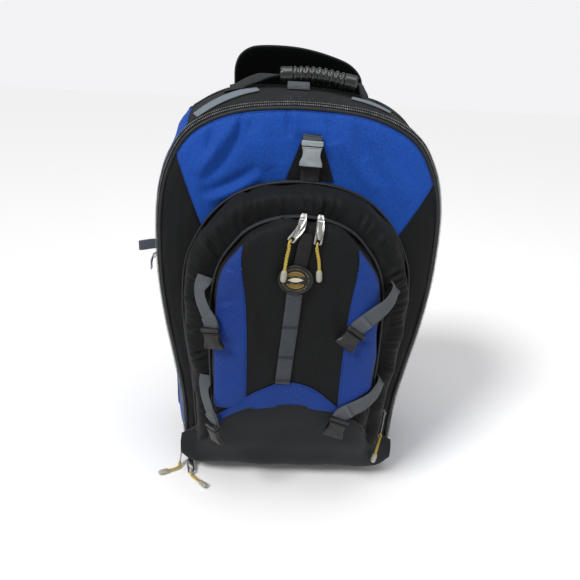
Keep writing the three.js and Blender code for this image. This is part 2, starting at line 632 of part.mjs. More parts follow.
// Rays find where a piece rests on the cloth below or behind it.
const ray = new THREE.Raycaster();
function rest(names, from, direction) {
  ray.set(from, direction);
  const meshes = bag.children.filter((m) => names.includes(m.name));
  for (const mesh of meshes) mesh.material.side = THREE.DoubleSide;
  return ray.intersectObjects(meshes)[0];
}
const onTop = (x, y, lift) => rest(['gusset_top'], V(x, y, far * 2), V(0, 0, -1)).point
  .add(V(0, 0, lift));

// Haul handle, the loops and the strips on the top gusset
const HAUL_Y = 60;
const HAUL_GRIP = [
  { x: -30, up: 33 }, { x: 14, up: 35 }, { x: 67, up: 28.5 },
];
const HAUL_WEB = 25;
const HAUL_TAPER = 8;             // webbing beyond each end of the grip before it is full width
const HAUL_ENDS = [
  { x: -96, lift: 3.2 }, { x: -82, lift: 3.6 }, { x: -62, up: 21 }, { x: 83, up: 17 },
  { x: 90, lift: 3.2 },
];
function addHaulHandle() {
  const curve = new THREE.CatmullRomCurve3(HAUL_GRIP.map(
    (p) => V(p.x, HAUL_Y, BODY_TOP + p.up)));
  const middle = curve.getPoint(0.5);
  const scale = HAUL_LONG / curve.getLength();
  const ribs = 9;
  const sections = [{ t: 0, r: 1 }, { t: 0.17, r: 1 }];
  for (let i = 0; i < ribs; i += 1) {
    const t = mix(0.19, 0.8, i / (ribs - 1));
    sections.push({ t, r: 1.02 }, { t: t + 0.03, r: 0.9 });
  }
  sections.push({ t: 0.86, r: 1 }, { t: 1, r: 1 });
  const centre = (t) => curve.getPoint(t).sub(middle).multiplyScalar(scale).add(middle);
  const circle = (t, radius) => {
    const p = centre(t);
    const along = curve.getTangent(t);
    const up = V(0, 1, 0).cross(along).normalize();
    return Array.from({ length: 12 }, (_, i) => {
      const a = (i / 12) * 2 * Math.PI;
      return p.clone().addScaledVector(V(0, 1, 0), Math.cos(a) * radius)
        .addScaledVector(up, Math.sin(a) * radius);
    });
  };
  const outer = sections.map((s) => circle(s.t, s.r * HAUL_DIAMETER / 2));
  const inner = [1, 0.75, 0.5, 0.25, 0].map((t) => circle(t, HAUL_BORE / 2));
  place('haul_grip', skin([...outer, ...inner], true), LOOK.rubber);
  const beyond = (t, reach) => centre(t).addScaledVector(curve.getTangent(t), reach);
  const sewn = (p) => onTop(p.x, HAUL_Y, p.lift);
  const free = (p) => V(p.x, HAUL_Y, BODY_TOP + p.up);
  const [outerLeft, innerLeft, riseLeft, dropRight, endRight] = HAUL_ENDS;
  const path = [sewn(outerLeft), sewn(innerLeft), free(riseLeft), beyond(0, -HAUL_TAPER),
    ...[0, 0.25, 0.5, 0.75, 1].map(centre), beyond(1, HAUL_TAPER), free(dropRight), sewn(endRight)];
  const narrow = HAUL_BORE - 2;
  const taper = (narrow + HAUL_WEB) / 2;
  const width = [HAUL_WEB, HAUL_WEB, HAUL_WEB, taper, narrow, narrow, narrow, narrow, narrow, taper,
    HAUL_WEB, HAUL_WEB];
  const facing = path.map(() => V(0, 0, 1));
  facing[10] = V(0.7, 0, 0.7);
  place('haul_webbing', ribbon(path, facing, width, WEBBING), LOOK.black);
}

const LOOP_X = -9;
const LOOP_WIDE = 28;
const LOOP_HIGH = 9;
const LOOP_Y = 42;
const STRIP_LINE = [
  { x: 66, y: 36 }, { x: 80, y: 33 }, { x: 93, y: 30 }, { x: 105, y: 27 }, { x: 116, y: 24 },
  { x: 127, y: 21 },
];
const STRIP_LIFT = 1.9;
function addTopLoop() {
  const half = LOOP_HIGH * 0.8;
  const path = Array.from({ length: 8 }, (_, i) => {
    const a = Math.PI * (i / 7);
    const base = onTop(LOOP_X, LOOP_Y - half * Math.cos(a), WEBBING / 2 + 0.7);
    return base.add(V(0, 0, Math.sin(a) * (LOOP_HIGH - WEBBING)));
  });
  const facing = path.map((_, i) => V(0, -Math.cos(Math.PI * (i / 7)), Math.sin(Math.PI * (i / 7))));
  place('top_loop', ribbon(path, facing, LOOP_WIDE, WEBBING), LOOK.greyWeb);
  for (const [name, side] of [['left', -1], ['right', 1]]) {
    const hits = STRIP_LINE.map(({ x, y }) => rest(['gusset_top'], V(side * x, y, far * 2),
      V(0, 0, -1)));
    const normals = hits.map((hit) => hit.face.normal.clone());
    const strip = hits.map((hit, i) => hit.point.clone().addScaledVector(normals[i], STRIP_LIFT));
    place(`top_strip_${name}`, ribbon(strip, normals, 16, WEBBING), LOOK.greyWeb);
  }
}

// Side tab and the slider of the left side's zip
const TAB_Y = 75;
const TAB_Z = BODY_TOP * 0.6;
const TAB_LONG = 36;
const TAB_HIGH = 14;
const onSide = (side, y, z, lift) => rest([side < 0 ? 'gusset_left' : 'gusset_right'],
  V(side * far, y, z), V(-side, 0, 0)).point.add(V(side * lift, 0, 0));
function addSideTab() {
  const root = onSide(-1, TAB_Y, TAB_Z, 0.8);
  const path = [root, root.clone().add(V(-TAB_LONG * 0.5, 0, -2)),
    root.clone().add(V(-TAB_LONG, 0, -5))];
  place('side_tab', ribbon(path, V(0, -1, 0), TAB_HIGH, 2 * WEBBING), LOOK.greyWeb);
  const hang = onSide(-1, TAB_Y, TAB_Z - 22, 3.3);
  const body = around(hang.x, TAB_Y, 2.5, 4, hang.z - 5, hang.z + 5);
  const pull = solid(ribbon([hang.clone().add(V(-2, 0, 2)), hang.clone().add(V(-9, 0, -4)),
    hang.clone().add(V(-9.5, 0, -20))], V(-1, 0, 0.3), 8, 1.6));
  place('side_slider', geometryOf(body.add(pull)), LOOK.metal);
}

// Buckles: outline as shares of length and width, laid on a point with its own directions
const BUCKLE = [
  { w: 1, l: 0.5 }, { w: 1, l: 0.3 }, { w: 0.76, l: 0.16 }, { w: 0.76, l: -0.12 },
  { w: 1, l: -0.34 }, { w: 1, l: -0.5 },
];
function buckle(at, along, face, length, width, thickness) {
  const right = BUCKLE.map((p) => [p.w * width / 2, p.l * length]);
  const outline = [...right, ...right.slice().reverse().map(([x, z]) => [-x, z])];
  const shape = new THREE.Shape(outline.map(([x, y]) => new THREE.Vector2(x, y)));
  const geometry = new THREE.ExtrudeGeometry(shape, { depth: thickness, bevelEnabled: false });
  geometry.translate(0, 0, -thickness / 2);
  const up = along.clone().normalize();
  const across = up.clone().cross(face).normalize();
  const out = across.clone().cross(up);
  geometry.applyMatrix4(new THREE.Matrix4().makeBasis(across, up, out).setPosition(at));
  return geometry;
}

// Pieces laid on the front: patch, strap and buckle above, badge and ladder of webbing below
const TRIM_X = 9;
const PATCH = { low: BIG_TOP + 5, high: BIG_TOP + 60, wide: 60, narrow: 22 };
const BUCKLE_Z = BIG_TOP + 34;
const BADGE_X = -5;
const BADGE_Z = SMALL_TOP - 68;
const BADGE_WIDE = 42;
const BADGE_HIGH = 37;
const BADGE_THICK = 3;
const DAISY_WIDE = 19;
const DAISY_BOTTOM = BASE_TOP + 42;
const DAISY_LEAN = 9;
function addTrim() {
  const face = -bigFront;
  const patch = [[TRIM_X - PATCH.wide / 2, PATCH.low], [TRIM_X + PATCH.wide / 2, PATCH.low],
    [TRIM_X + PATCH.narrow / 2, PATCH.high], [TRIM_X - PATCH.narrow / 2, PATCH.high]];
  place('top_patch', geometryOf(prism(patch, face - CLOTH, face)), LOOK.black);
  const strapY = face - CLOTH - GAP - WEBBING / 2;
  const front = V(0, -1, 0);
  place('top_buckle', buckle(V(TRIM_X, strapY - WEBBING / 2 - GAP - 3.2, BUCKLE_Z + 3), V(0.03, 0, 1),
    front, 32, 28, 6), LOOK.greyBuckle);
  const strap = [V(TRIM_X, strapY, PATCH.high - 4), V(TRIM_X, strapY, BUCKLE_Z),
    V(TRIM_X, strapY - 0.5, PATCH.low + 6), V(TRIM_X, strapY - 2, BIG_TOP + ARCH_ZIP + 1.5)];
  place('top_strap', ribbon(strap, front, 23, WEBBING), LOOK.black);

  const smallY = -smallFront - SMALL_DEPTH - GAP;
  const webY = smallY - WEBBING / 2 - 0.2;
  const above = [V(5, smallY - 0.1, SMALL_TOP - 13), V(4, webY, SMALL_TOP - 25), V(2, webY, BADGE_Z + 12)];
  place('badge_strap', ribbon(above, front, 16, WEBBING), LOOK.black);
  const badgeY = webY - WEBBING / 2 - GAP;
  const badge = new THREE.CylinderGeometry(1, 0.92, BADGE_THICK, 28);
  badge.scale(BADGE_WIDE / 2, 1, BADGE_HIGH / 2);
  badge.translate(BADGE_X, badgeY - BADGE_THICK / 2, BADGE_Z);
  place('badge', badge, LOOK.rubber);
  const steps = 9;
  const rungs = [1, 4, 7];
  const daisy = Array.from({ length: steps + 1 }, (_, i) => {
    const t = i / steps;
    const sag = rungs.includes(i) || i === 0 || i === steps ? 0 : 1;
    return V(BADGE_X - DAISY_LEAN * t, webY - sag,
      mix(BADGE_Z - BADGE_HIGH / 2 - 1, DAISY_BOTTOM + 3, t));
  });
  place('daisy_chain', ribbon(daisy, front, DAISY_WIDE, WEBBING), LOOK.greyWeb);
}

// Compression straps: each runs from the big pocket's face round the small pocket's edge to a
// buckle on its front. x, z and y are shares of the small pocket's half width, height and depth.
const STRAPS = [
  { name: 'upper_left', x: -1.13, z: 0.785, toX: -0.995, toZ: 0.672, buckleX: -0.96,
    buckleZ: 0.607, twist: 0 },
  { name: 'upper_right', x: 1.13, z: 0.792, toX: 0.70, toZ: 0.683, buckleX: 0.545,
    buckleZ: 0.623, twist: 0 },
  { name: 'lower_left', x: -1.10, z: 0.44, toX: -0.98, toZ: 0.315, buckleX: -0.93,
    buckleZ: 0.262, twist: 0.9 },
  { name: 'lower_right', x: 1.09, z: 0.463, toX: 0.60, toZ: 0.367, buckleX: 0.528,
    buckleZ: 0.31, twist: 0 },
];
const strapProud = 1.8;
const BUCKLE_LONG = 28;
const BUCKLE_WIDE = 27;
const BUCKLE_THICK = 6.5;
const TONGUE = 6;                // strap that lies under its buckle
const FACE_TURN = [0.1, 0.9, 0.8, 0.1, 0, 0, 0];  // how far each point faces sideways
const EDGE_TURN = [0.1, 0.9, 0.9, 0.6, 0.5, 0.5];
function addCompressionStraps() {
  const deep = (t) => -smallFront - t * SMALL_DEPTH - strapProud;
  for (const s of STRAPS) {
    const side = Math.sign(s.x);
    const [x0, z0] = [s.x * smallHalf, s.z * SMALL_TOP];
    const [x1, z1] = [s.toX * smallHalf, s.toZ * SMALL_TOP];
    const onFace = Math.abs(s.toX) < 0.9;
    const at = (t, y, out = 0) => V(mix(x0, x1, t) + side * out, y, mix(z0, z1, t));
    const path = onFace
      ? [at(0, deep(0) + 1.6, 2), at(0.1, deep(0.45), 3), at(0.3, deep(0.86), 3), at(0.55, deep(1.06)),
        at(1, deep(1.06))]
      : [at(0, deep(0) + 1.6, 2), at(0.3, deep(0.4), 4), at(0.65, deep(0.8), 4), at(1, deep(1.05), 2)];
    const last = path.at(-1);
    const target = V(s.buckleX * smallHalf, last.y, s.buckleZ * SMALL_TOP);
    const along = last.clone().sub(target).normalize();
    const strapWay = at(0, last.y).sub(last).normalize();
    const turned = strapWay.clone().add(along).normalize();
    path.splice(-1, 0, last.clone().addScaledVector(turned, 7));
    path.push(last.clone().addScaledVector(along, -TONGUE));
    const facing = path.map((_, i) => {
      const t = i / (path.length - 1);
      const turn = onFace ? FACE_TURN[i] : EDGE_TURN[i];
      return V(side * (turn + s.twist * t), -1, 0).normalize();
    });
    place(`strap_${s.name}`, ribbon(path, facing, STRAP_WIDE, WEBBING), LOOK.greyWeb);
    const out = facing.at(-1).clone().addScaledVector(along, -along.dot(facing.at(-1))).normalize();
    const centre = last.clone().addScaledVector(along, -BUCKLE_LONG / 2 - 0.5)
      .addScaledVector(out, (BUCKLE_THICK + WEBBING) / 2 + GAP + s.twist);
    place(`buckle_${s.name}`, buckle(centre, along, out, BUCKLE_LONG, BUCKLE_WIDE, BUCKLE_THICK),
      LOOK.plastic);
  }
}

// Zip pulls: slider and tab in one, then the cord with its moulded tip. Points are millimetres
// from an anchor on the seam that carries the slider; flat is the way the slider faces.
const smallPeak = V(0, -faceY, SMALL_TOP);
const footHalf = OUTLINE[4].front * BODY_WIDTH / 2;
const PULLS = [
  { name: 'centre_left', anchor: smallPeak, slider: [1, 11.6, 3.6], hinge: [-2, -0.9, -5],
    end: [-14, -4.4, -21], cord: [[-14.6, -5.2, -27], [-17, -7.2, -41], [-18.6, -9.6, -55]],
    tip: [-20, -10, -68], flat: [0, -0.3, 1] },
  { name: 'centre_right', anchor: smallPeak, slider: [21, 11.6, 2.5], hinge: [20.3, -0.4, -7],
    end: [18, -3.4, -24], cord: [[18, -3.8, -30], [21, -4.2, -43], [22.3, -4.4, -55]],
    tip: [23, -4.6, -67], flat: [0.1, -0.3, 1] },
  { name: 'right', anchor: V(BIG_WIDTH / 2, -bigFront, 0), slider: [-8.5, -4.5, 108],
    hinge: [-9.4, -15.2, 103], end: [-14.2, -27.7, 84],
    cord: [[-15, -29.7, 79], [-17, -31.7, 68], [-19, -33.2, 56]], tip: [-21.5, -34.2, 43],
    flat: [1, -0.2, 0] },
  { name: 'corner', anchor: V(-Math.max(BASE_HALF, footHalf), 0, 0), slider: [-0.3, -6, 33],
    hinge: [-1.2, -10, 27], end: [-3.6, -22, 5.5],
    cord: [[-3.5, -28, 3.6], [-9, -34, 3.9], [-18, -38.5, 3.9]], tip: [-30, -44, 3.9],
    flat: [-1, -0.1, 0] },
  { name: 'bottom', anchor: V(-BASE_HALF, 0, 0), slider: [12, -16, 10.4], hinge: [12.4, -25, 8.2],
    end: [16, -42, 4], cord: [[17.5, -47, 3.6], [24, -54, 3.9], [31, -61, 3.9]],
    tip: [42, -72, 3.9], flat: [0, -0.2, 1] },
];
const PULL_LONG = 10;
const PULL_WIDE = 8;
const PULL_THICK = 4.4;
const TAB_THICK = 1.6;
const TIP_LONG = 15;
const TIP_SECTION = [
  { r: 0, along: 0 }, { r: 0.65, along: 0 }, { r: 1, along: 0.2 }, { r: 1, along: 0.75 },
  { r: 0.6, along: 1 }, { r: 0, along: 1 },
];
function addPulls() {
  for (const p of PULLS) {
    const from = (q) => V(...q).add(p.anchor);
    const [slider, hinge, end] = [p.slider, p.hinge, p.end].map(from);
    const flat = V(...p.flat).normalize();
    const run = hinge.clone().sub(slider).normalize();
    const head = solid(ribbon([slider.clone().addScaledVector(run, -PULL_LONG / 2),
      slider.clone().addScaledVector(run, PULL_LONG / 2)], flat, PULL_WIDE, PULL_THICK));
    const level = p.flat[2] !== 0 && end.z > TRAY_BOTTOM;
    const tabFace = level ? V(0, -1, 0) : flat;
    const tab = solid(ribbon([hinge.clone().lerp(slider, 0.78), hinge, end],
      [flat, flat.clone().add(tabFace).normalize(), tabFace], PULL_WIDE, TAB_THICK));
    place(`pull_${p.name}`, geometryOf(head.add(tab)), LOOK.metal);

    const points = p.cord.map(from);
    const leave = points[0].clone().sub(end);
    const bend = leave.angleTo(end.clone().sub(hinge));
    points.unshift(leave.setLength(2 * GAP + Math.sin(bend) * (CORD + TAB_THICK) / 2).add(end));
    const way = from(p.tip).sub(points.at(-1)).normalize();
    const path = new THREE.CatmullRomCurve3([...points, points.at(-1).clone().add(way)], false,
      'centripetal');
    const section = new THREE.Shape(Array.from({ length: 8 }, (_, k) => new THREE.Vector2(
      Math.cos(k * Math.PI / 4) * CORD / 2, Math.sin(k * Math.PI / 4) * CORD / 2)));
    const steps = Math.ceil(path.getLength() / (2.4 * CORD));
    const tube = solid(new THREE.ExtrudeGeometry(section, { steps, extrudePath: path }));
    const tip = new THREE.LatheGeometry(TIP_SECTION.map(
      (q) => new THREE.Vector2(q.r * TIP / 2, q.along * TIP_LONG)), 8);
    tip.applyQuaternion(new THREE.Quaternion().setFromUnitVectors(V(0, 1, 0), way));
    tip.translate(...points.at(-1).toArray());
    place(`cord_${p.name}`, geometryOf(tube.add(solid(tip))), LOOK.yellow);
  }
}

// Shoulder straps: padded, bowed off the back pad, with a webbing tail to its lower corner
const SHOULDER = [
  { x: 42, y: -1.4, up: 0.972, wide: 0.95 }, { x: 46, y: 16, up: 0.928, wide: 1 },
  { x: 60, y: 32, up: 0.823, wide: 1 }, { x: 74, y: 38, up: 0.693, wide: 1 },
  { x: 84, y: 34, up: 0.562, wide: 0.92 }, { x: 88, y: 24, up: 0.458, wide: 0.75 },
  { x: 90, y: 14, up: 0.394, wide: 0.5 },
];
const TAIL = [
  { x: 90.2, y: 13.6, up: 0.386 }, { x: 103, y: 8, up: 0.301 }, { x: 122, y: 3, up: 0.233 },
  { x: 136, y: -6, up: 0.197 }, { x: 142, y: -24, up: 0.177 }, { x: 143, y: -38, up: 0.171 },
];
const padFace = padBack + PAD_DEPTH;
function addShoulderStraps() {
  for (const [name, side] of [['left', -1], ['right', 1]]) {
    const at = (p) => V(side * p.x, padFace + GAP + SHOULDER_THICK / 2 + 0.4 + p.y, p.up * TUBE_TOP);
    const path = smooth(SHOULDER.map(at), 14);
    const widths = path.map((_, i) => {
      const t = (i / 14) * (SHOULDER.length - 1);
      const k = Math.min(Math.floor(t), SHOULDER.length - 2);
      return mix(SHOULDER[k].wide, SHOULDER[k + 1].wide, t - k) * SHOULDER_WIDE;
    });
    const thick = widths.map((w) => Math.min(SHOULDER_THICK, w * 0.3));
    place(`shoulder_strap_${name}`, ribbon(path, V(0, 1, 0), widths, thick), LOOK.black);
    const tail = smooth(TAIL.map(at), 10);
    const turn = tail.map((_, i) => V(side * (i / 10) ** 2 * 1.6, 1 - (i / 10) ** 2, 0).normalize());
    place(`shoulder_tail_${name}`, ribbon(tail, turn, 24, WEBBING), LOOK.black);
  }
}

addGussets();
addMainZip();
addFrontPanel();
addPockets();
place('small_pocket', geometryOf(cutFaces()), LOOK.black);
addBasePanel();
addTray();
addStandBar();
addWheel('wheel_left', -1);
addWheel('wheel_right', 1);
addBackPanel();
addTrolley();
addBackPad();
addFlap();
addHaulHandle();
addTopLoop();
addSideTab();
addTrim();
addCompressionStraps();
addPulls();
addShoulderStraps();

bag.position.y = -STAND_BAR_Y;
const group = new THREE.Group();
group.add(bag);
export default group;
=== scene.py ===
import math

import bmesh
import bpy
import numpy as np
from mathutils import Matrix, Vector
from mathutils.bvhtree import BVHTree


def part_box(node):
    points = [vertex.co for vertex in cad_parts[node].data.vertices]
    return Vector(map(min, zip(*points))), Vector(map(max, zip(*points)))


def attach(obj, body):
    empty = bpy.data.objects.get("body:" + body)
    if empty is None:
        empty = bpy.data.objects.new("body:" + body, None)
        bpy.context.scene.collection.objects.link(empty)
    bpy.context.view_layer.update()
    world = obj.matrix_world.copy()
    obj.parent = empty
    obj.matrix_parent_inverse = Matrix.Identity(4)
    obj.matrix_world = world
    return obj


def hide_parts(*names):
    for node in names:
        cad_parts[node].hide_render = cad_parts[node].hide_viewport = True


# Wheeled backpack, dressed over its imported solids. Lengths are millimetres from the plane of the
# main zip: x to the right, y to the back, z up from the floor. toScene turns them into metres.
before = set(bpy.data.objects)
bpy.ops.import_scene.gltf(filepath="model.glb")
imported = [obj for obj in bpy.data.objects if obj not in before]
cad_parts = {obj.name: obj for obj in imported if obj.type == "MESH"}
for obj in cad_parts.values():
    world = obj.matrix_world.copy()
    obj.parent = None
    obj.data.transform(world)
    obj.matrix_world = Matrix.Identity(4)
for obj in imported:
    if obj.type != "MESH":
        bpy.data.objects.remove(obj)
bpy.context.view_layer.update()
zipDeep = 8                                     # main zip's plane to the gusset
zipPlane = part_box("main_zip")[1].y * 1000 - zipDeep
print("frame loaded")


def toScene(points):
    return (np.asarray(points, float).reshape(-1, 3) + (0, zipPlane, 0)) / 1000


# Camera where the photograph was taken
shot = {
    "azimuth": -2.2,
    "elevation": 22.5,
    "roll": 3.2,
    "distance": 0.826,
    "aim": (-0.007, -0.032, 0.286),
    "focalPixels": 600,
    "framePixels": 580,
}


def addCamera():
    azimuth, elevation, roll = (math.radians(shot[k]) for k in ("azimuth", "elevation", "roll"))
    forward = Vector((-math.cos(elevation) * math.sin(azimuth),
                      math.cos(elevation) * math.cos(azimuth), -math.sin(elevation)))
    level = forward.cross(Vector((0, 0, 1))).normalized()
    upright = level.cross(forward)
    right = level * math.cos(roll) + upright * math.sin(roll)
    up = upright * math.cos(roll) - level * math.sin(roll)
    data = bpy.data.cameras.new("camera")
    data.sensor_width = 36
    data.lens = data.sensor_width * shot["focalPixels"] / shot["framePixels"]
    camera = bpy.data.objects.new("camera", data)
    turn = Matrix((right, up, -forward)).transposed().to_4x4()
    place = Matrix.Translation(Vector(shot["aim"]) - forward * shot["distance"])
    camera.matrix_world = place @ turn
    bpy.context.scene.collection.objects.link(camera)
    bpy.context.scene.camera = camera


addCamera()
print("camera placed")


# Lines and grids
def lengthAlong(line):
    return np.r_[0, np.cumsum(np.linalg.norm(np.diff(line, axis=0), axis=1))]


def stretch(line, start, end, count):
    s = lengthAlong(line)
    at = np.linspace(start, end, count)
    return np.column_stack([np.interp(at, s, line[:, k]) for k in range(line.shape[1])])


def evenly(line, count):
    return stretch(line, 0, lengthAlong(line)[-1], count)


def smoothLine(points, count, closed=False):
    points = np.array(points, float)
    apart = np.linalg.norm(np.diff(points, axis=0), axis=1) > 1e-6
    points = points[np.r_[True, apart]]
    line = np.vstack([points[-2:], points, points[:3]]) if closed else points
    knots = np.r_[0, np.cumsum(np.linalg.norm(np.diff(line, axis=0), axis=1) ** 0.5)]
    slopes = np.gradient(line, knots, axis=0)
    first, last = (2, 2 + len(points)) if closed else (0, len(points) - 1)
    fine = np.linspace(knots[first], knots[last], 16 * len(points))
    k = np.clip(np.searchsorted(knots, fine, "right") - 1, 0, len(knots) - 2)
    span = (knots[k + 1] - knots[k])[:, None]
    s = (fine - knots[k])[:, None] / span
    curve = ((1 + 2 * s) * (1 - s) ** 2 * line[k] + s * (1 - s) ** 2 * span * slopes[k]
             + s * s * (3 - 2 * s) * line[k + 1] + s * s * (s - 1) * span * slopes[k + 1])
    return evenly(curve, count)


def crossings(line, values):
    s = lengthAlong(line)
    i = np.nonzero((values[:-1] < 0) != (values[1:] < 0))[0]
    return s[i] + (s[i + 1] - s[i]) * values[i] / (values[i] - values[i + 1])


def mix(a, b, t):
    return a + (b - a) * t


def ease(low, high, value):
    t = np.clip((value - low) / (high - low), 0, 1)
    return t * t * (3 - 2 * t)


def loft(outer, inner, shares):
    return np.array([mix(outer, inner, t) for t in shares])


def fromPlane(points, depth):
    points = np.asarray(points, float)
    return np.stack([points[..., 0], depth, points[..., 1]], axis=-1)


def distanceTo(points, line):
    flat = points.reshape(-1, 2)
    gaps = [np.sqrt(((part[:, None, :] - line[None]) ** 2).sum(2)).min(1)
            for part in np.array_split(flat, max(1, len(flat) // 4000))]
    return np.concatenate(gaps).reshape(points.shape[:-1])


bagMiddle = np.array([0.0, 75.0, 270.0])


def normalsOf(grid, inside=None):
    normals = np.cross(np.gradient(grid, axis=0), np.gradient(grid, axis=1))
    normals /= np.maximum(np.linalg.norm(normals, axis=2, keepdims=True), 1e-9)
    if inside is not None and (normals * (grid - inside)).sum() < 0:
        normals = -normals
    return normals


# Cloth relief: slow ripples, and folds that run from one point to another
def ripple(points, size, seed, waves=9):
    rng = np.random.default_rng(seed)
    total = np.zeros(points.shape[:-1])
    for _ in range(waves):
        way = rng.normal(size=3)
        way *= 2 * math.pi / size * rng.uniform(0.6, 1.5) / np.linalg.norm(way)
        total += np.sin(points @ way + rng.uniform(0, 2 * math.pi))
    return total / math.sqrt(waves)


# Each fold: start and end as (x, z), width, rise, edge, bow. A positive rise is a ridge, edge
# puts a valley beside it, and bow bends its line.
def foldRelief(points, folds):
    total = np.zeros(points.shape[:-1])
    flat = points[..., [0, 2]]
    for start, end, width, rise, edge, bow in folds:
        run = np.array(end, float) - start
        t = ((flat - start) @ run) / (run @ run)
        side = np.array([-run[1], run[0]]) / math.sqrt(run @ run)
        bend = bow * np.sin(math.pi * np.clip(t, 0, 1))
        across = (flat - start) @ side - bend
        beyond = np.maximum(np.maximum(-t, t - 1), 0) * math.sqrt(run @ run)
        fade = np.clip(np.sin(math.pi * np.clip(t, 0, 1)), 0, 1) ** 0.5 * np.exp(-(beyond / 6) ** 2)
        shape = np.exp(-(across / width) ** 2)
        shape = shape - edge * np.exp(-((across - 1.5 * width) / width) ** 2)
        total += rise * fade * shape
    return total


# Meshes
# A piece takes its material from the finishes, by name
def linkPiece(name, mesh, look=None):
    piece = bpy.data.objects.new(name, mesh)
    bpy.context.scene.collection.objects.link(piece)
    if look:
        mesh.materials.clear()
        mesh.materials.append(finish[look])
    return piece


def meshOf(name, points, faces, uv=None, sharp=None):
    mesh = bpy.data.meshes.new(name)
    mesh.from_pydata(toScene(points).tolist(), [], [list(map(int, f)) for f in faces])
    if uv is not None:
        corners = np.empty(len(mesh.loops), np.int32)
        mesh.loops.foreach_get("vertex_index", corners)
        layer = mesh.uv_layers.new(name="UVMap")
        layer.data.foreach_set("uv", (np.asarray(uv) / 1000)[corners].astype(np.float32).ravel())
    mesh.shade_smooth()
    if sharp:
        mesh.set_sharp_from_angle(angle=math.radians(sharp))
    mesh.validate()
    return mesh


def gridFaces(rows, cols, start=0, turned=False):
    r, c = np.meshgrid(np.arange(rows - 1), np.arange(cols - 1), indexing="ij")
    a = (start + r * cols + c).ravel()
    quads = np.column_stack([a, a + cols, a + cols + 1, a + 1])
    return quads[:, ::-1] if turned else quads


def rimOf(rows, cols):
    top = np.arange(cols)
    right = np.arange(1, rows) * cols + cols - 1
    bottom = (rows - 1) * cols + np.arange(cols - 2, -1, -1)
    left = np.arange(rows - 2, 0, -1) * cols
    return np.concatenate([top, right, bottom, left])


# How far each point of a grid lies from its first column and from its first row
def runsOf(grid):
    over = np.cumsum(np.linalg.norm(np.diff(grid, axis=1), axis=2), 1)
    down = np.cumsum(np.linalg.norm(np.diff(grid, axis=0), axis=2), 0)
    return (np.concatenate([np.zeros((len(grid), 1)), over], 1),
            np.concatenate([np.zeros((1, grid.shape[1])), down], 0))


def uvOf(grid):
    u, v = runsOf(grid)
    return np.stack([u - u[:, -1:] / 2, v], axis=-1).reshape(-1, 2)


# A sewn piece: closed cloth of some thickness behind a grid of points
def clothMesh(name, grid, thick=1.4, inside=bagMiddle):
    rows, cols = grid.shape[:2]
    normals = normalsOf(grid)
    turned = (normals * (grid - inside)).sum() < 0
    if turned:
        normals = -normals
    behind = grid - normals * thick
    points = np.concatenate([grid.reshape(-1, 3), behind.reshape(-1, 3)])
    half = rows * cols
    rim = rimOf(rows, cols)
    following = np.roll(rim, -1)
    edge = np.column_stack([following, rim, rim + half, following + half])
    faces = [gridFaces(rows, cols, 0, turned), gridFaces(rows, cols, half, not turned),
             edge[:, ::-1] if turned else edge]
    uv = uvOf(grid)
    return meshOf(name, points, np.concatenate(faces), np.concatenate([uv, uv]), sharp=60)


# Tubes and webbing: rings of points joined along a path, with closed ends
def ringMesh(name, rings, closed=False, sharp=None):
    count, around = rings.shape[:2]
    points = rings.reshape(-1, 3)
    faces = []
    joins = count if closed else count - 1
    for k in range(joins):
        a, b = k * around, (k + 1) % count * around
        i = np.arange(around)
        j = (i + 1) % around
        faces.append(np.column_stack([a + i, a + j, b + j, b + i]))
    faces = np.concatenate(faces).tolist()
    if not closed:
        faces.append(list(range(around))[::-1])
        faces.append([(count - 1) * around + i for i in range(around)])
    over = np.linalg.norm(np.diff(rings, axis=1, append=rings[:, :1]), axis=2)
    u = np.concatenate([np.zeros((count, 1)), np.cumsum(over, 1)[:, :-1]], 1)
    v = np.broadcast_to(lengthAlong(rings.mean(1))[:, None], u.shape)
    uv = np.stack([u, v], axis=-1).reshape(-1, 2)
    mesh = meshOf(name, points, faces, uv, sharp)
    outwards(mesh)
    return mesh


def outwards(mesh):
    shell = bmesh.new()
    shell.from_mesh(mesh)
    bmesh.ops.recalc_face_normals(shell, faces=shell.faces)
    shell.to_mesh(mesh)
    shell.free()


def unit(v):
    v = np.asarray(v, float)
    return v / np.maximum(np.linalg.norm(v, axis=-1, keepdims=True), 1e-9)


def framesAlong(path, facing):
    along = unit(np.gradient(path, axis=0))
    facing = np.broadcast_to(np.asarray(facing, float), path.shape)
    across = unit(np.cross(along, facing))
    return along, across, np.cross(across, along)


def tubeRings(path, radius, sides=12):
    facing = (0, 0, 1) if abs(unit(path[-1] - path[0])[2]) < 0.8 else (0, 1, 0)
    _, across, out = framesAlong(path, facing)
    angle = np.linspace(0, 2 * math.pi, sides, endpoint=False)
    radius = np.broadcast_to(np.asarray(radius, float), (len(path),))[:, None, None]
    return (path[:, None] + radius * (across[:, None] * np.cos(angle)[None, :, None]
                                      + out[:, None] * np.sin(angle)[None, :, None]))


def tubeMesh(name, path, radius, sides=12, closed=False):
    return ringMesh(name, tubeRings(path, radius, sides), closed)


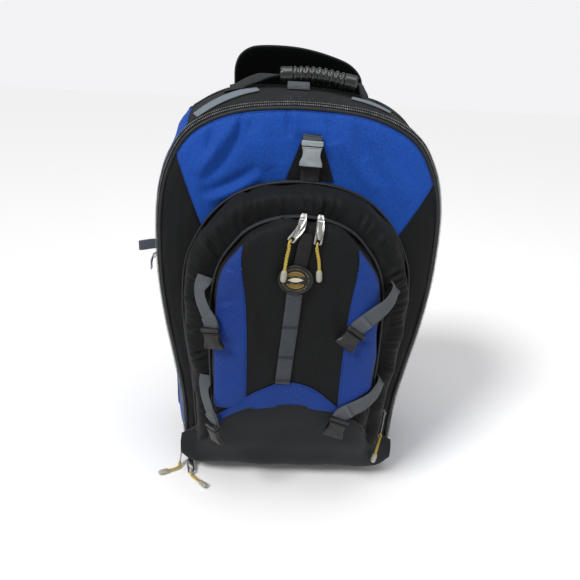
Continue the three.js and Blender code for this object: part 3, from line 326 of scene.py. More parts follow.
# Webbing has rounded edges and a flat face
def webbingMesh(name, path, facing, width, thick=1.8, step=1.5):
    path = np.array(path, float)
    facing = np.broadcast_to(np.asarray(facing, float), path.shape)
    width = np.broadcast_to(np.asarray(width, float), (len(path),))
    both = np.column_stack([path, facing, width])
    count = max(8, int(lengthAlong(path)[-1] / step))
    share = lengthAlong(path) / lengthAlong(path)[-1]
    at = np.linspace(0, 1, count)
    line = smoothLine(path, count)
    rest = np.column_stack([np.interp(at, share, both[:, k]) for k in range(3, 7)])
    _, across, out = framesAlong(line, rest[:, :3])
    half = rest[:, 3][:, None, None] / 2
    section = np.array([(-1, -0.25), (-1, 0.25), (-0.95, 0.5), (-0.5, 0.5), (0, 0.5), (0.5, 0.5),
                        (0.95, 0.5), (1, 0.25), (1, -0.25), (0.95, -0.5), (0, -0.5), (-0.95, -0.5)])
    rings = (line[:, None] + across[:, None] * section[None, :, :1] * half
             + out[:, None] * section[None, :, 1:] * thick)
    return ringMesh(name, rings, sharp=50)


# Copies along lines, by Geometry Nodes: stitches, zip coils, bar tacks, badge dots
def copyTree():
    tree = bpy.data.node_groups.new("copiesAlongLines", "GeometryNodeTree")
    for name, kind in (("Geometry", "NodeSocketGeometry"), ("Spacing", "NodeSocketFloat"),
                       ("Copy", "NodeSocketObject"), ("Finish", "NodeSocketMaterial"),
                       ("Unevenness", "NodeSocketFloat"), ("Seed", "NodeSocketInt")):
        tree.interface.new_socket(name, in_out="INPUT", socket_type=kind)
    tree.interface.new_socket("Geometry", in_out="OUTPUT", socket_type="NodeSocketGeometry")
    nodes = {key: tree.nodes.new(kind) for key, kind in (
        ("source", "NodeGroupInput"), ("result", "NodeGroupOutput"),
        ("curve", "GeometryNodeMeshToCurve"), ("points", "GeometryNodeCurveToPoints"),
        ("across", "GeometryNodeInputNamedAttribute"), ("copy", "GeometryNodeObjectInfo"),
        ("ahead", "FunctionNodeAlignRotationToVector"), ("low", "ShaderNodeMath"),
        ("level", "FunctionNodeAlignRotationToVector"), ("high", "ShaderNodeMath"),
        ("place", "GeometryNodeInstanceOnPoints"), ("size", "FunctionNodeRandomValue"),
        ("real", "GeometryNodeRealizeInstances"), ("paint", "GeometryNodeSetMaterial"))}
    nodes["points"].mode = "LENGTH"
    nodes["across"].data_type = "FLOAT_VECTOR"
    nodes["across"].inputs["Name"].default_value = "across"
    nodes["ahead"].axis = "X"
    nodes["level"].axis, nodes["level"].pivot_axis = "Y", "X"
    nodes["size"].data_type = "FLOAT"
    for key, operation in (("low", "SUBTRACT"), ("high", "ADD")):
        nodes[key].operation = operation
        nodes[key].inputs[0].default_value = 1
    for start, output, end, socket in (
            ("source", "Geometry", "curve", "Mesh"), ("curve", "Curve", "points", "Curve"),
            ("source", "Spacing", "points", "Length"), ("points", "Points", "place", "Points"),
            ("points", "Tangent", "ahead", "Vector"), ("ahead", "Rotation", "level", "Rotation"),
            ("across", "Attribute", "level", "Vector"), ("level", "Rotation", "place", "Rotation"),
            ("source", "Copy", "copy", "Object"), ("copy", "Geometry", "place", "Instance"),
            ("source", "Unevenness", "low", 1), ("source", "Unevenness", "high", 1),
            ("low", 0, "size", 2), ("high", 0, "size", 3), ("source", "Seed", "size", "Seed"),
            ("size", 1, "place", "Scale"), ("place", "Instances", "real", "Geometry"),
            ("real", "Geometry", "paint", "Geometry"), ("source", "Finish", "paint", "Material"),
            ("paint", "Geometry", "result", "Geometry")):
        tree.links.new(nodes[start].outputs[output], nodes[end].inputs[socket])
    return tree


copiesAlongLines = copyTree()


def bead(name, long, wide, high):
    shell = bmesh.new()
    bmesh.ops.create_icosphere(shell, subdivisions=1, radius=0.0005)
    bmesh.ops.scale(shell, vec=(long, wide, high), verts=shell.verts)
    mesh = bpy.data.meshes.new(name)
    shell.to_mesh(mesh)
    shell.free()
    mesh.shade_smooth()
    return mesh


# lines and acrosses are lists of (n, 3) arrays
def addCopies(name, lines, acrosses, copy, spacing, look, unevenness, seed, slot="zip_tape"):
    points = np.concatenate(lines)
    edges, start = [], 0
    for line in lines:
        edges += [(start + i, start + i + 1) for i in range(len(line) - 1)]
        start += len(line)
    mesh = bpy.data.meshes.new(name)
    mesh.from_pydata(toScene(points).tolist(), edges, [])
    attribute = mesh.attributes.new("across", "FLOAT_VECTOR", "POINT")
    attribute.data.foreach_set("vector", np.concatenate(acrosses).astype(np.float32).ravel())
    guide, pattern = linkPiece(name + "Guide", mesh), linkPiece(name + "Copy", copy)
    modifier = guide.modifiers.new("copies", "NODES")
    modifier.node_group = copiesAlongLines
    values = {"Spacing": spacing / 1000, "Copy": pattern, "Finish": finish[look],
              "Unevenness": unevenness, "Seed": seed}
    for item in copiesAlongLines.interface.items_tree:
        if item.in_out == "INPUT" and item.name in values:
            modifier[item.identifier] = values[item.name]
    bpy.context.view_layer.update()
    graph = bpy.context.evaluated_depsgraph_get()
    made = bpy.data.meshes.new_from_object(guide.evaluated_get(graph))
    bpy.data.objects.remove(guide)
    bpy.data.objects.remove(pattern)
    made.name = name
    made.shade_smooth()
    return addPiece(name, made, look, slot)


def dress(piece, body, slot, *nodes):
    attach(piece, body)
    if nodes:
        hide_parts(*nodes)
    return piece


def addPiece(name, mesh, look, slot, *nodes, body="bag"):
    return dress(linkPiece(name, mesh, look), body, slot, *nodes)


# Shader node groups
def shaderGroup(name, inputs, outputs):
    group = bpy.data.node_groups.new(name, "ShaderNodeTree")
    group.interface.new_socket("Vector", in_out="INPUT", socket_type="NodeSocketVector")
    for label in inputs:
        group.interface.new_socket(label, in_out="INPUT", socket_type="NodeSocketFloat")
    for label in outputs:
        group.interface.new_socket(label, in_out="OUTPUT", socket_type="NodeSocketFloat")
    return group, group.nodes.new("NodeGroupInput"), group.nodes.new("NodeGroupOutput")


def mathNode(tree, operation, a, b=None):
    node = tree.nodes.new("ShaderNodeMath")
    node.operation = operation
    for socket, value in zip(node.inputs, (a, b)):
        if isinstance(value, (int, float)):
            socket.default_value = value
        elif value is not None:
            tree.links.new(value, socket)
    return node.outputs[0]


def noiseNode(tree, vector, scale, detail=2.0):
    node = tree.nodes.new("ShaderNodeTexNoise")
    node.inputs["Detail"].default_value = detail
    if isinstance(scale, (int, float)):
        node.inputs["Scale"].default_value = scale
    else:
        tree.links.new(scale, node.inputs["Scale"])
    tree.links.new(vector, node.inputs["Vector"])
    return node.outputs["Fac"]


def rangeNode(tree, value, fromLow, fromHigh, toLow, toHigh):
    node = tree.nodes.new("ShaderNodeMapRange")
    for label, number in (("From Min", fromLow), ("From Max", fromHigh), ("To Min", toLow),
                          ("To Max", toHigh)):
        node.inputs[label].default_value = number
    tree.links.new(value, node.inputs["Value"])
    return node.outputs["Result"]


# Plain weave: threads over and under, with uneven threads
def weaveGroup():
    tree, given, result = shaderGroup("weave", ["Threads", "Slub"], ["Height", "Tone"])
    split = tree.nodes.new("ShaderNodeSeparateXYZ")
    tree.links.new(given.outputs["Vector"], split.inputs[0])
    turns = mathNode(tree, "MULTIPLY", given.outputs["Threads"], math.pi)
    waves = [mathNode(tree, "SINE", mathNode(tree, "MULTIPLY", split.outputs[k], turns))
             for k in (0, 1)]
    weave = mathNode(tree, "MULTIPLY", *waves)
    slub = noiseNode(tree, given.outputs["Vector"], mathNode(tree, "MULTIPLY",
                                                             given.outputs["Threads"], 0.45))
    uneven = mathNode(tree, "MULTIPLY", mathNode(tree, "SUBTRACT", slub, 0.5),
                      given.outputs["Slub"])
    height = mathNode(tree, "ADD", mathNode(tree, "MULTIPLY", weave, 0.5), uneven)
    tree.links.new(mathNode(tree, "ADD", height, 0.5), result.inputs["Height"])
    tree.links.new(mathNode(tree, "ADD", mathNode(tree, "MULTIPLY", uneven, 2), 0.5),
                   result.inputs["Tone"])
    return tree


# Slow patches of lighter and darker cloth, and dust on what faces up
def patinaGroup():
    tree, given, result = shaderGroup("patina", ["Size"], ["Patches", "Dust"])
    patches = noiseNode(tree, given.outputs["Vector"], given.outputs["Size"], 3)
    tree.links.new(rangeNode(tree, patches, 0.35, 0.65, 0, 1), result.inputs["Patches"])
    specks = noiseNode(tree, given.outputs["Vector"], 420, 4)
    bare = noiseNode(tree, given.outputs["Vector"], 30, 3)
    surface = tree.nodes.new("ShaderNodeNewGeometry")
    split = tree.nodes.new("ShaderNodeSeparateXYZ")
    tree.links.new(surface.outputs["Normal"], split.inputs[0])
    upward = rangeNode(tree, split.outputs["Z"], -0.2, 1, 0.15, 1)
    dust = mathNode(tree, "MULTIPLY", rangeNode(tree, specks, 0.5, 0.72, 0, 1),
                    rangeNode(tree, bare, 0.4, 0.7, 0, 1))
    tree.links.new(mathNode(tree, "MULTIPLY", dust, upward), result.inputs["Dust"])
    return tree


# Fine moulded grain, and wear where edges stand out; on the haul grip this lightened edge colour is
# a painted highlight along its ribs
def grainGroup():
    tree, given, result = shaderGroup("grain", ["Scale"], ["Height", "WearAndGlint"])
    grain = noiseNode(tree, given.outputs["Vector"], given.outputs["Scale"], 3)
    tree.links.new(grain, result.inputs["Height"])
    surface = tree.nodes.new("ShaderNodeNewGeometry")
    edge = rangeNode(tree, surface.outputs["Pointiness"], 0.5, 0.58, 0, 1)
    rubbed = rangeNode(tree, noiseNode(tree, given.outputs["Vector"], 90, 4), 0.42, 0.66, 0, 1)
    tree.links.new(mathNode(tree, "MULTIPLY", edge, rubbed), result.inputs["WearAndGlint"])
    return tree


weave, patina, grain = weaveGroup(), patinaGroup(), grainGroup()


def srgb(*color):
    return [((c / 255 + 0.055) / 1.055) ** 2.4 if c > 10 else c / 255 / 12.92 for c in color] + [1]


def baseMaterial(name, settings):
    material = bpy.data.materials.new(name)
    material.use_nodes = True
    shader = material.node_tree.nodes["Principled BSDF"]
    for label, value in settings.items():
        shader.inputs[label].default_value = value
    return material, material.node_tree, shader


def useGroup(tree, group, vector, **values):
    node = tree.nodes.new("ShaderNodeGroup")
    node.node_tree = group
    tree.links.new(vector, node.inputs["Vector"])
    for label, value in values.items():
        node.inputs[label].default_value = value
    return node


def blendColors(tree, share, a, b):
    node = tree.nodes.new("ShaderNodeMix")
    node.data_type = "RGBA"
    for index, value in ((0, share), (6, a), (7, b)):
        if isinstance(value, (int, float, list)):
            node.inputs[index].default_value = value
        else:
            tree.links.new(value, node.inputs[index])
    return node.outputs[2]


def bumpFrom(tree, shader, heights):
    last = None
    for height, strength, reach in heights:
        bump = tree.nodes.new("ShaderNodeBump")
        bump.inputs["Strength"].default_value = strength
        bump.inputs["Distance"].default_value = reach / 1000
        tree.links.new(height, bump.inputs["Height"])
        if last:
            tree.links.new(last.outputs["Normal"], bump.inputs["Normal"])
        last = bump
    tree.links.new(last.outputs["Normal"], shader.inputs["Normal"])


# Woven cloth, seen by its own pattern of threads
def clothMaterial(name, dark, light, **look):
    material, tree, shader = baseMaterial(name, {
        "Roughness": look["roughness"], "Sheen Weight": look["sheen"],
        "Sheen Roughness": 0.45, "Specular IOR Level": look.get("shine", 0.35)})
    place = tree.nodes.new("ShaderNodeTexCoord")
    cut = place.outputs["UV"] if look.get("uv", True) else place.outputs["Object"]
    threads = useGroup(tree, weave, cut, Threads=look["threads"], Slub=look.get("slub", 0.5))
    age = useGroup(tree, patina, place.outputs["Object"], Size=14.0)
    tone = blendColors(tree, threads.outputs["Tone"], srgb(*dark), srgb(*light))
    worn = blendColors(tree, mathNode(tree, "MULTIPLY", age.outputs["Patches"],
                                      look.get("fade", 0.25)), tone, srgb(*light))
    dusty = blendColors(tree, mathNode(tree, "MULTIPLY", age.outputs["Dust"],
                                       look.get("dust", 0.12)), worn, srgb(150, 150, 148))
    tree.links.new(dusty, shader.inputs["Base Color"])
    bumpFrom(tree, shader, [(threads.outputs["Height"], look.get("depth", 0.35), 0.35),
                            (age.outputs["Patches"], 0.12, 1.0)])
    return material


# Webbing has ribs across its length; its colour is painted shade in the rib grooves and a painted
# highlight on their crests
def webbingMaterial(name, dark, light, ribs):
    material, tree, shader = baseMaterial(name, {
        "Roughness": 0.65, "Sheen Weight": 0.05, "Sheen Roughness": 0.4,
        "Specular IOR Level": 0.25})
    place = tree.nodes.new("ShaderNodeTexCoord")
    split = tree.nodes.new("ShaderNodeSeparateXYZ")
    tree.links.new(place.outputs["UV"], split.inputs[0])
    wave = mathNode(tree, "SINE", mathNode(tree, "MULTIPLY", split.outputs["Y"],
                                           2 * math.pi * ribs))
    threads = useGroup(tree, weave, place.outputs["UV"], Threads=1400.0, Slub=0.6)
    age = useGroup(tree, patina, place.outputs["Object"], Size=40.0)
    # Painted shade and highlight: the rib wave darkens the grooves and lightens the crests
    tone = blendColors(tree, rangeNode(tree, wave, -1, 1, 0, 1), srgb(*dark), srgb(*light))
    worn = blendColors(tree, mathNode(tree, "MULTIPLY", threads.outputs["Tone"], 0.5), tone,
                       srgb(*light))
    dusty = blendColors(tree, mathNode(tree, "MULTIPLY", age.outputs["Dust"], 0.15), worn,
                        srgb(160, 160, 158))
    tree.links.new(dusty, shader.inputs["Base Color"])
    bumpFrom(tree, shader, [(wave, 0.5, 0.25), (threads.outputs["Height"], 0.3, 0.2)])
    return material


# Moulded and cast parts: fine grain, rubbed edges and some dust. The rubbed edge colour is wear,
# and on the haul grip a painted highlight along the ribs
def mouldedMaterial(name, dark, light, **look):
    material, tree, shader = baseMaterial(name, {
        "Metallic": look.get("metal", 0.0), "Specular IOR Level": look.get("shine", 0.5),
        "Transmission Weight": look.get("clear", 0.0)})
    place = tree.nodes.new("ShaderNodeTexCoord")
    skin = useGroup(tree, grain, place.outputs["Object"], Scale=900.0)
    age = useGroup(tree, patina, place.outputs["Object"], Size=60.0)
    tone = blendColors(tree, mathNode(tree, "MULTIPLY", age.outputs["Patches"], 0.5), srgb(*dark),
                       srgb(*light))
    worn = blendColors(tree, mathNode(tree, "MULTIPLY", skin.outputs["WearAndGlint"], 0.5), tone,
                       srgb(*look.get("rubbed", light)))
    dusty = blendColors(tree, mathNode(tree, "MULTIPLY", age.outputs["Dust"],
                                       look.get("dust", 0.15)), worn, srgb(150, 150, 148))
    tree.links.new(dusty, shader.inputs["Base Color"])
    rough = look.get("roughness", 0.5)
    tree.links.new(rangeNode(tree, skin.outputs["Height"], 0.3, 0.7, rough - 0.08, rough + 0.08),
                   shader.inputs["Roughness"])
    bumpFrom(tree, shader, [(skin.outputs["Height"], look.get("depth", 0.2), 0.15)])
    return material


finish = {
    "blue": clothMaterial("blueCloth", (8, 40, 100), (29, 81, 174), threads=700.0, roughness=0.7,
        sheen=0.08, shine=0.1, fade=0.2, dust=0.03, slub=0.45),
    "blueFace": clothMaterial("blueFaceCloth", (10, 32, 84), (25, 61, 138), threads=900.0,
        roughness=0.65, sheen=0.08, shine=0.15, fade=0.15, dust=0.06),
    # The flap is black cloth, darkened here well past the other black cloth: painted shade where it
    # stands behind the haul handle
    "flap": clothMaterial("flapClothPaintedShade", (0, 0, 1), (4, 5, 5), threads=800.0, roughness=0.9,
        sheen=0.0, shine=0.04, dust=0.0),
    "black": clothMaterial("blackCloth", (4, 5, 5), (20, 21, 23), threads=800.0, roughness=0.7,
        sheen=0.02, shine=0.16, dust=0.02, slub=0.8),
    "charcoal": clothMaterial("charcoalCloth", (10, 12, 14), (26, 29, 33), threads=1000.0,
        roughness=0.6, sheen=0.02, shine=0.14, dust=0.06),
    "topCloth": clothMaterial("topCloth", (12, 13, 14), (34, 37, 38), threads=1000.0,
        roughness=0.75, sheen=0.04, shine=0.15, dust=0.12),
    "tape": clothMaterial("zipTape", (10, 11, 12), (28, 30, 33), threads=500.0, roughness=0.75,
        sheen=0.0, shine=0.15, depth=0.6),
    "pad": clothMaterial("padMesh", (8, 9, 10), (26, 27, 30), threads=420.0, roughness=0.9,
        sheen=0.05, shine=0.1, depth=0.7, uv=False),
    "binding": clothMaterial("bindingCloth", (8, 8, 9), (24, 25, 27), threads=900.0, roughness=0.7,
        sheen=0.05, shine=0.25),
    "coil": mouldedMaterial("zipCoil", (84, 86, 87), (146, 148, 148), roughness=0.5),
    "piping": clothMaterial("pipingCloth", (10, 11, 12), (30, 32, 35), threads=900.0,
        roughness=0.55, sheen=0.05, shine=0.35),
    "thread": mouldedMaterial("stitchThread", (18, 19, 21), (44, 46, 49), roughness=0.6,
        shine=0.25),
    "paleThread": mouldedMaterial("paleThread", (96, 100, 104), (136, 140, 144), roughness=0.6),
    "blueThread": mouldedMaterial("blueThread", (8, 26, 74), (18, 46, 116), roughness=0.6,
        shine=0.2),
    # Webbing colours: the dark one is painted shade in the rib grooves, the light one a painted
    # highlight on their crests
    "greyWeb": webbingMaterial("greyWebbing", (40, 43, 46), (84, 89, 94), ribs=620.0),
    "daisy": webbingMaterial("ladderWebbing", (26, 29, 33), (64, 68, 74), ribs=620.0),
    "blackWeb": webbingMaterial("blackWebbing", (6, 7, 8), (22, 23, 25), ribs=620.0),
    "paleWeb": webbingMaterial("paleWebbing", (74, 82, 90), (120, 130, 138), ribs=620.0),
    "plastic": mouldedMaterial("blackPlastic", (12, 12, 12), (26, 25, 25), roughness=0.45,
        shine=0.35, rubbed=(60, 60, 60), dust=0.06),
    "greyPlastic": mouldedMaterial("greyPlastic", (122, 130, 134), (150, 157, 161), roughness=0.4,
        rubbed=(156, 160, 162)),
    "rubber": mouldedMaterial("blackRubber", (12, 13, 14), (26, 28, 30), roughness=0.5, shine=0.35,
        rubbed=(60, 62, 64), dust=0.08),
    # Haul grip: its pale rubbed colour on rib crests and edges is a painted highlight along the
    # ribs
    "grip": mouldedMaterial("gripRubberLitRibs", (10, 11, 12), (22, 24, 25), roughness=0.24, shine=0.8,
        rubbed=(90, 94, 96), dust=0.04),
    "haulWeb": webbingMaterial("haulWebbing", (12, 13, 14), (36, 38, 40), ribs=620.0),
    "archTape": clothMaterial("archTape", (12, 13, 14), (52, 55, 58), threads=420.0, roughness=0.7,
        sheen=0.0, shine=0.2, depth=0.9, slub=0.9),
    "metal": mouldedMaterial("castMetal", (150, 150, 148), (190, 190, 186), roughness=0.32,
        metal=1.0, rubbed=(220, 220, 216), depth=0.1),
    "alloy": mouldedMaterial("tubeAlloy", (140, 144, 148), (176, 180, 184), roughness=0.35,
        metal=1.0, depth=0.08),
    "cord": clothMaterial("cordYarn", (142, 118, 22), (214, 188, 72), threads=1900.0, roughness=0.6,
        sheen=0.2, depth=0.8, dust=0.0),
    "tip": mouldedMaterial("tipPlastic", (166, 162, 144), (200, 197, 184), roughness=0.3, depth=0.1,
        clear=0.35, dust=0.03),
    "brass": mouldedMaterial("badgeGold", (120, 98, 48), (176, 150, 84), roughness=0.4, metal=0.6,
        depth=0.1),
    "cream": mouldedMaterial("badgeCream", (176, 168, 148), (206, 198, 178), roughness=0.5),
}
print("materials made")


# Hard parts: outlines lofted into plates with rounded edges, laid along a line
def softOutline(corners, count=72, rounds=3):
    corners = np.array(corners, float)
    line = evenly(np.vstack([corners, corners[:1]]), count + 1)[:-1]
    for _ in range(rounds):
        line = (np.roll(line, 1, 0) + 2 * line + np.roll(line, -1, 0)) / 4
    return line


def rectangle(wide, long, v=0.0):
    return [(i * wide / 2, v + j * long / 2) for i, j in ((-1, -1), (1, -1), (1, 1), (-1, 1))]


def drawnIn(line, by):
    along = unit(np.roll(line, -1, 0) - np.roll(line, 1, 0))
    area = (line[:, 0] * np.roll(line[:, 1], -1) - np.roll(line[:, 0], -1) * line[:, 1]).sum()
    return line - np.column_stack([along[:, 1], -along[:, 0]]) * by * math.copysign(1, area)


def atHeight(line, height):
    return np.column_stack([line, np.full(len(line), height)])


# Points given as across, along and out follow a line that faces a way
def laidAlong(local, line, facing):
    line = np.asarray(line, float)
    along, across, out = framesAlong(line, facing)
    s = lengthAlong(line)
    v = local[..., 1]

    def pick(field):
        return np.stack([np.interp(v, s, field[:, k]) for k in range(3)], -1)

    beyond = (v - np.clip(v, 0, s[-1]))[..., None]
    return (pick(line) + unit(pick(along)) * beyond + unit(pick(across)) * local[..., :1]
            + unit(pick(out)) * local[..., 2:])


def plateMesh(name, outline, low, high, line, facing, bevel=0.4, hole=None):
    inner = drawnIn(outline, bevel)
    rings = [atHeight(inner, low), atHeight(outline, low + bevel), atHeight(outline, high - bevel),
             atHeight(inner, high)]
    if hole is not None:
        wide = drawnIn(hole, -bevel)
        rings += [atHeight(wide, high), atHeight(hole, high - bevel), atHeight(hole, low + bevel),
                  atHeight(wide, low)]
    laid = laidAlong(np.array(rings), line, facing)
    return ringMesh(name, laid, closed=hole is not None, sharp=40)


def joined(name, meshes, look):
    shell = bmesh.new()
    for mesh in meshes:
        shell.from_mesh(mesh)
    made = bpy.data.meshes.new(name)
    shell.to_mesh(made)
    shell.free()
    for mesh in meshes:
        bpy.data.meshes.remove(mesh)
    return linkPiece(name, made, look)


# Zip pulls: slider and slotted tab, two twisted strands, a moulded tip. Points as in the solids.
pulls = {
    "CentreLeft": {"slider": (1, -84, 412.6), "hinge": (-2, -96.5, 404), "end": (-14, -100, 388),
                   "cord": [(-14.6, -100.8, 382), (-17, -102.8, 368), (-18.6, -105.2, 354)],
                   "tip": (-20, -105.6, 341), "flat": (0, -0.3, 1), "node": "centre_left"},
    "CentreRight": {"slider": (21, -84, 411.5), "hinge": (20.3, -96, 402), "end": (18, -99, 385),
                    "cord": [(18, -99.4, 379), (21, -99.8, 366), (22.3, -100, 354)],
                    "tip": (23, -100.2, 342), "flat": (0.1, -0.3, 1), "node": "centre_right"},
    "Right": {"slider": (138.5, -22.8, 108), "hinge": (137.6, -33.5, 103), "end": (132.8, -46, 84),
              "cord": [(132, -48, 79), (130, -50, 68), (128, -51.5, 56)],
              "tip": (125.5, -52.5, 43), "flat": (1, -0.2, 0), "node": "right"},
    "Corner": {"slider": (-156.3, -6, 33), "hinge": (-157.2, -10, 27), "end": (-159.6, -22, 5.5),
               "cord": [(-159.5, -28, 3.6), (-165, -34, 3.9), (-174, -38.5, 3.9)],
               "tip": (-186, -44, 3.9), "flat": (-1, -0.1, 0), "lay": (-0.64, 0.77, 0),
               "node": "corner"},
    "Bottom": {"slider": (-144, -16, 10.4), "hinge": (-143.6, -25, 8.2), "end": (-140, -42, 4),
               "cord": [(-138.5, -47, 3.6), (-132, -54, 3.9), (-125, -61, 3.9)],
               "tip": (-114, -72, 3.9), "flat": (0, -0.2, 1), "node": "bottom"},
}
twine = {"strand": 1.05, "helix": 1.02, "pitch": 6.6, "eye": 1.9, "slotBack": 2.6, "intoTip": 4.0}
tipShape = {"long": 15, "across": 7.4,
            "section": [(0.0, 0.0), (0.42, 0.0), (0.6, 0.02), (0.84, 0.1), (0.97, 0.22),
                        (1.0, 0.36), (1.0, 0.62), (0.96, 0.76), (0.86, 0.86), (0.66, 0.95),
                        (0.36, 0.99), (0.0, 1.0)]}
tabShape = {"wide": 9.6, "thick": 1.5, "slotWide": 4.6, "slotLong": 4.8, "back": 3.6}
sliderShape = {"long": 10.5, "wide": 8.4, "thick": 1.3, "gap": 1.7}


def strandPath(line, facing, phase):
    _, across, out = framesAlong(line, facing)
    s = lengthAlong(line)
    turned = ease(3, 9, s)
    angle = phase + 2 * math.pi * np.maximum(s - 5, 0) / twine["pitch"] * turned
    spread = np.interp(s, (0, 1.2, 3.2, 7.5), (0.1, 1.0, twine["eye"] / twine["helix"], 1.0))
    spread = (spread * twine["helix"])[:, None]
    return line + spread * (np.cos(angle)[:, None] * out + np.sin(angle)[:, None] * across)


def addTip(name, start, way):
    across = unit(np.cross(way, (0.3, 1, 0.2)))
    other = np.cross(across, way)
    angle = np.linspace(0, 2 * math.pi, 28, endpoint=False)
    circle = np.cos(angle)[:, None] * across + np.sin(angle)[:, None] * other
    rings = np.array([start + way * share * tipShape["long"] + circle * max(r, 0.02)
                      * tipShape["across"] / 2 for r, share in tipShape["section"]])
    return addPiece(name, ringMesh(name, rings), "tip", "yellow_cord")


def addCord(key, look):
    end, hinge = np.array(look["end"], float), np.array(look["hinge"], float)
    back = unit(hinge - end)
    points = np.array(look["cord"], float)
    way = unit(np.array(look["tip"], float) - points[-1])
    slot = end + back * twine["slotBack"]
    line = smoothLine([slot, end - back * 1.5, *points, points[-1] + way * twine["intoTip"]], 150)
    facing = (0, -1, 0) if key.startswith("Centre") else look.get("lay", look["flat"])
    tip = addTip("tip" + key, points[-1], way)
    for label, phase in (("A", 0.0), ("B", math.pi)):
        name = "cord" + key + label
        path = strandPath(line, facing, phase)
        stands = ["cord_" + look["node"]] if label == "A" else []
        strand = tubeMesh(name, path, twine["strand"], 8)
        piece = addPiece(name, strand, "cord", "yellow_cord", *stands)


for key, look in pulls.items():
    addCord(key, look)
print("cords laid")


def addPull(name, slider, hinge, end, flat, tabFace, node):
    slider, hinge, end = (np.array(p, float) for p in (slider, hinge, end))
    flat = unit(np.array(flat, float))
    run = unit(hinge - slider)
    shape, parts = sliderShape, []
    stem = [slider - run * shape["long"] / 2, slider + run * shape["long"] / 2]
    waist = shape["wide"] * 0.36
    body = softOutline([(-waist, 0), (waist, 0), (shape["wide"] / 2, shape["long"] * 0.45),
                        (shape["wide"] * 0.42, shape["long"]),
                        (-shape["wide"] * 0.42, shape["long"]),
                        (-shape["wide"] / 2, shape["long"] * 0.45)], 48, 2)
    for low in (-shape["gap"] / 2 - shape["thick"], shape["gap"] / 2):
        parts.append(plateMesh("plate", body, low, low + shape["thick"], stem, flat, 0.35))
    post = softOutline(rectangle(2.2, 3.0, shape["long"] * 0.25), 24, 1)
    parts.append(plateMesh("post", post, -shape["gap"], shape["gap"], stem, flat, 0.2))
    top = shape["gap"] / 2 + shape["thick"]
    arch = [slider + run * (t - 0.5) * 7.5 + flat * (top - 0.5 + 2.1 * math.sin(math.pi * t))
            for t in np.linspace(0, 1, 9)]
    parts.append(webbingMesh("bridge", arch, flat, 2.6, 1.1, 0.8))
    tab = tabShape
    line = smoothLine([slider + run * 1.5 + flat * 2.2, hinge + flat * 0.3, end], 40)
    long = lengthAlong(line)[-1]
    share = ease(0, 0.5, np.linspace(0, 1, 40))[:, None]
    facing = mix(flat, unit(tabFace), share)
    outline = softOutline([(-tab["wide"] * 0.3, 0), (tab["wide"] * 0.3, 0), (tab["wide"] / 2, 3.5),
                           (tab["wide"] / 2, long), (-tab["wide"] / 2, long),
                           (-tab["wide"] / 2, 3.5)], 80, 3)
    hole = softOutline(rectangle(tab["slotWide"], tab["slotLong"], long - tab["back"]), 80, 3)
    half = tab["thick"] / 2
    parts.append(plateMesh("tab", outline, -half, half, line, facing, 0.35, hole))
    return dress(joined(name, parts, "metal"), "bag", "zinc_pull", node)


for key, look in pulls.items():
    addPull("pull" + key, look["slider"], look["hinge"], look["end"], look["flat"],
            (0, -1, 0) if key.startswith("Centre") else look["flat"], "pull_" + look["node"])
print("pulls made")


# Outlines, bottom centre to top centre, as shares of height and half width
bag = {
    "width": 378, "top": 535, "bottom": 14, "depth": 150, "backWidth": 376,
    "topSwell": 12, "rightSag": 34, "sideSwell": 4, "zipBand": 8.5, "crown": 18, "cornerHalf": 148,
    "trayTop": 48.3, "clearance": 0.3,
}
bodyOutline = np.array([  # up, front, back
    (0, 0, 0), (0, 0.4, 0.45), (0, 0.7, 0.84), (0.012, 0.783, 0.915), (0.05, 0.82, 0.952),
    (0.127, 0.831, 0.962), (0.2, 0.847, 0.967), (0.3, 0.892, 0.977), (0.42, 0.951, 0.991),
    (0.54, 0.991, 1), (0.64, 1, 1), (0.72, 0.9935, 0.993), (0.78, 0.9735, 0.983),
    (0.826, 0.942, 0.965), (0.87, 0.8915, 0.935), (0.905, 0.836, 0.885), (0.93, 0.775, 0.83),
    (0.953, 0.685, 0.755), (0.974, 0.556, 0.655), (0.99, 0.38, 0.52), (1, 0, 0)])
bigOutline = np.array([  # up, wide
    (0, 0), (0, 0.45), (0, 0.80), (0.02, 0.86), (0.133, 0.89), (0.32, 0.925), (0.518, 0.993),
    (0.663, 1), (0.757, 0.96), (0.851, 0.837), (0.905, 0.72), (0.95, 0.57), (0.982, 0.37),
    (0.996, 0.18), (1, 0)])
smallOutline = np.array([
    (0, 0), (0, 0.45), (0, 0.85), (0.03, 0.92), (0.24, 0.94), (0.42, 0.985), (0.57, 1),
    (0.72, 0.985), (0.807, 0.935), (0.857, 0.865), (0.905, 0.748), (0.945, 0.62), (0.973, 0.462),
    (0.993, 0.25), (1, 0)])
sections = np.array([  # depth share, blend from front to back outline, swell
    (0, 0, 0), (0.22, 0.30, 0.8), (0.5, 0.60, 1), (0.8, 0.88, 0.6), (1, 1, 0)])


# A whole outline from bottom centre up the left side, over the top and down the right
def outlineOf(up, half, floor, rise, inset=0.0, swell=0.0):
    share = half / half.max()
    x = half - share * inset + share * bag["sideSwell"] * swell
    z = floor + rise / 2 + (up - 0.5) * (rise - 2 * inset) + up ** 3 * bag["topSwell"] * swell
    left = np.column_stack([-x, z])
    right = np.column_stack([x, z - up ** 3 * bag["rightSag"] * share ** 2 * swell])
    return smoothLine(np.vstack([left, right[-2:0:-1]]), 560, closed=True)


def bodyLine(blend=0.0, swell=0.0, inset=0.0):
    up, front, back = bodyOutline.T
    half = mix(front * bag["width"], back * bag["backWidth"], blend) / 2
    return outlineOf(up, half, bag["bottom"], bag["top"] - bag["bottom"], inset, swell)


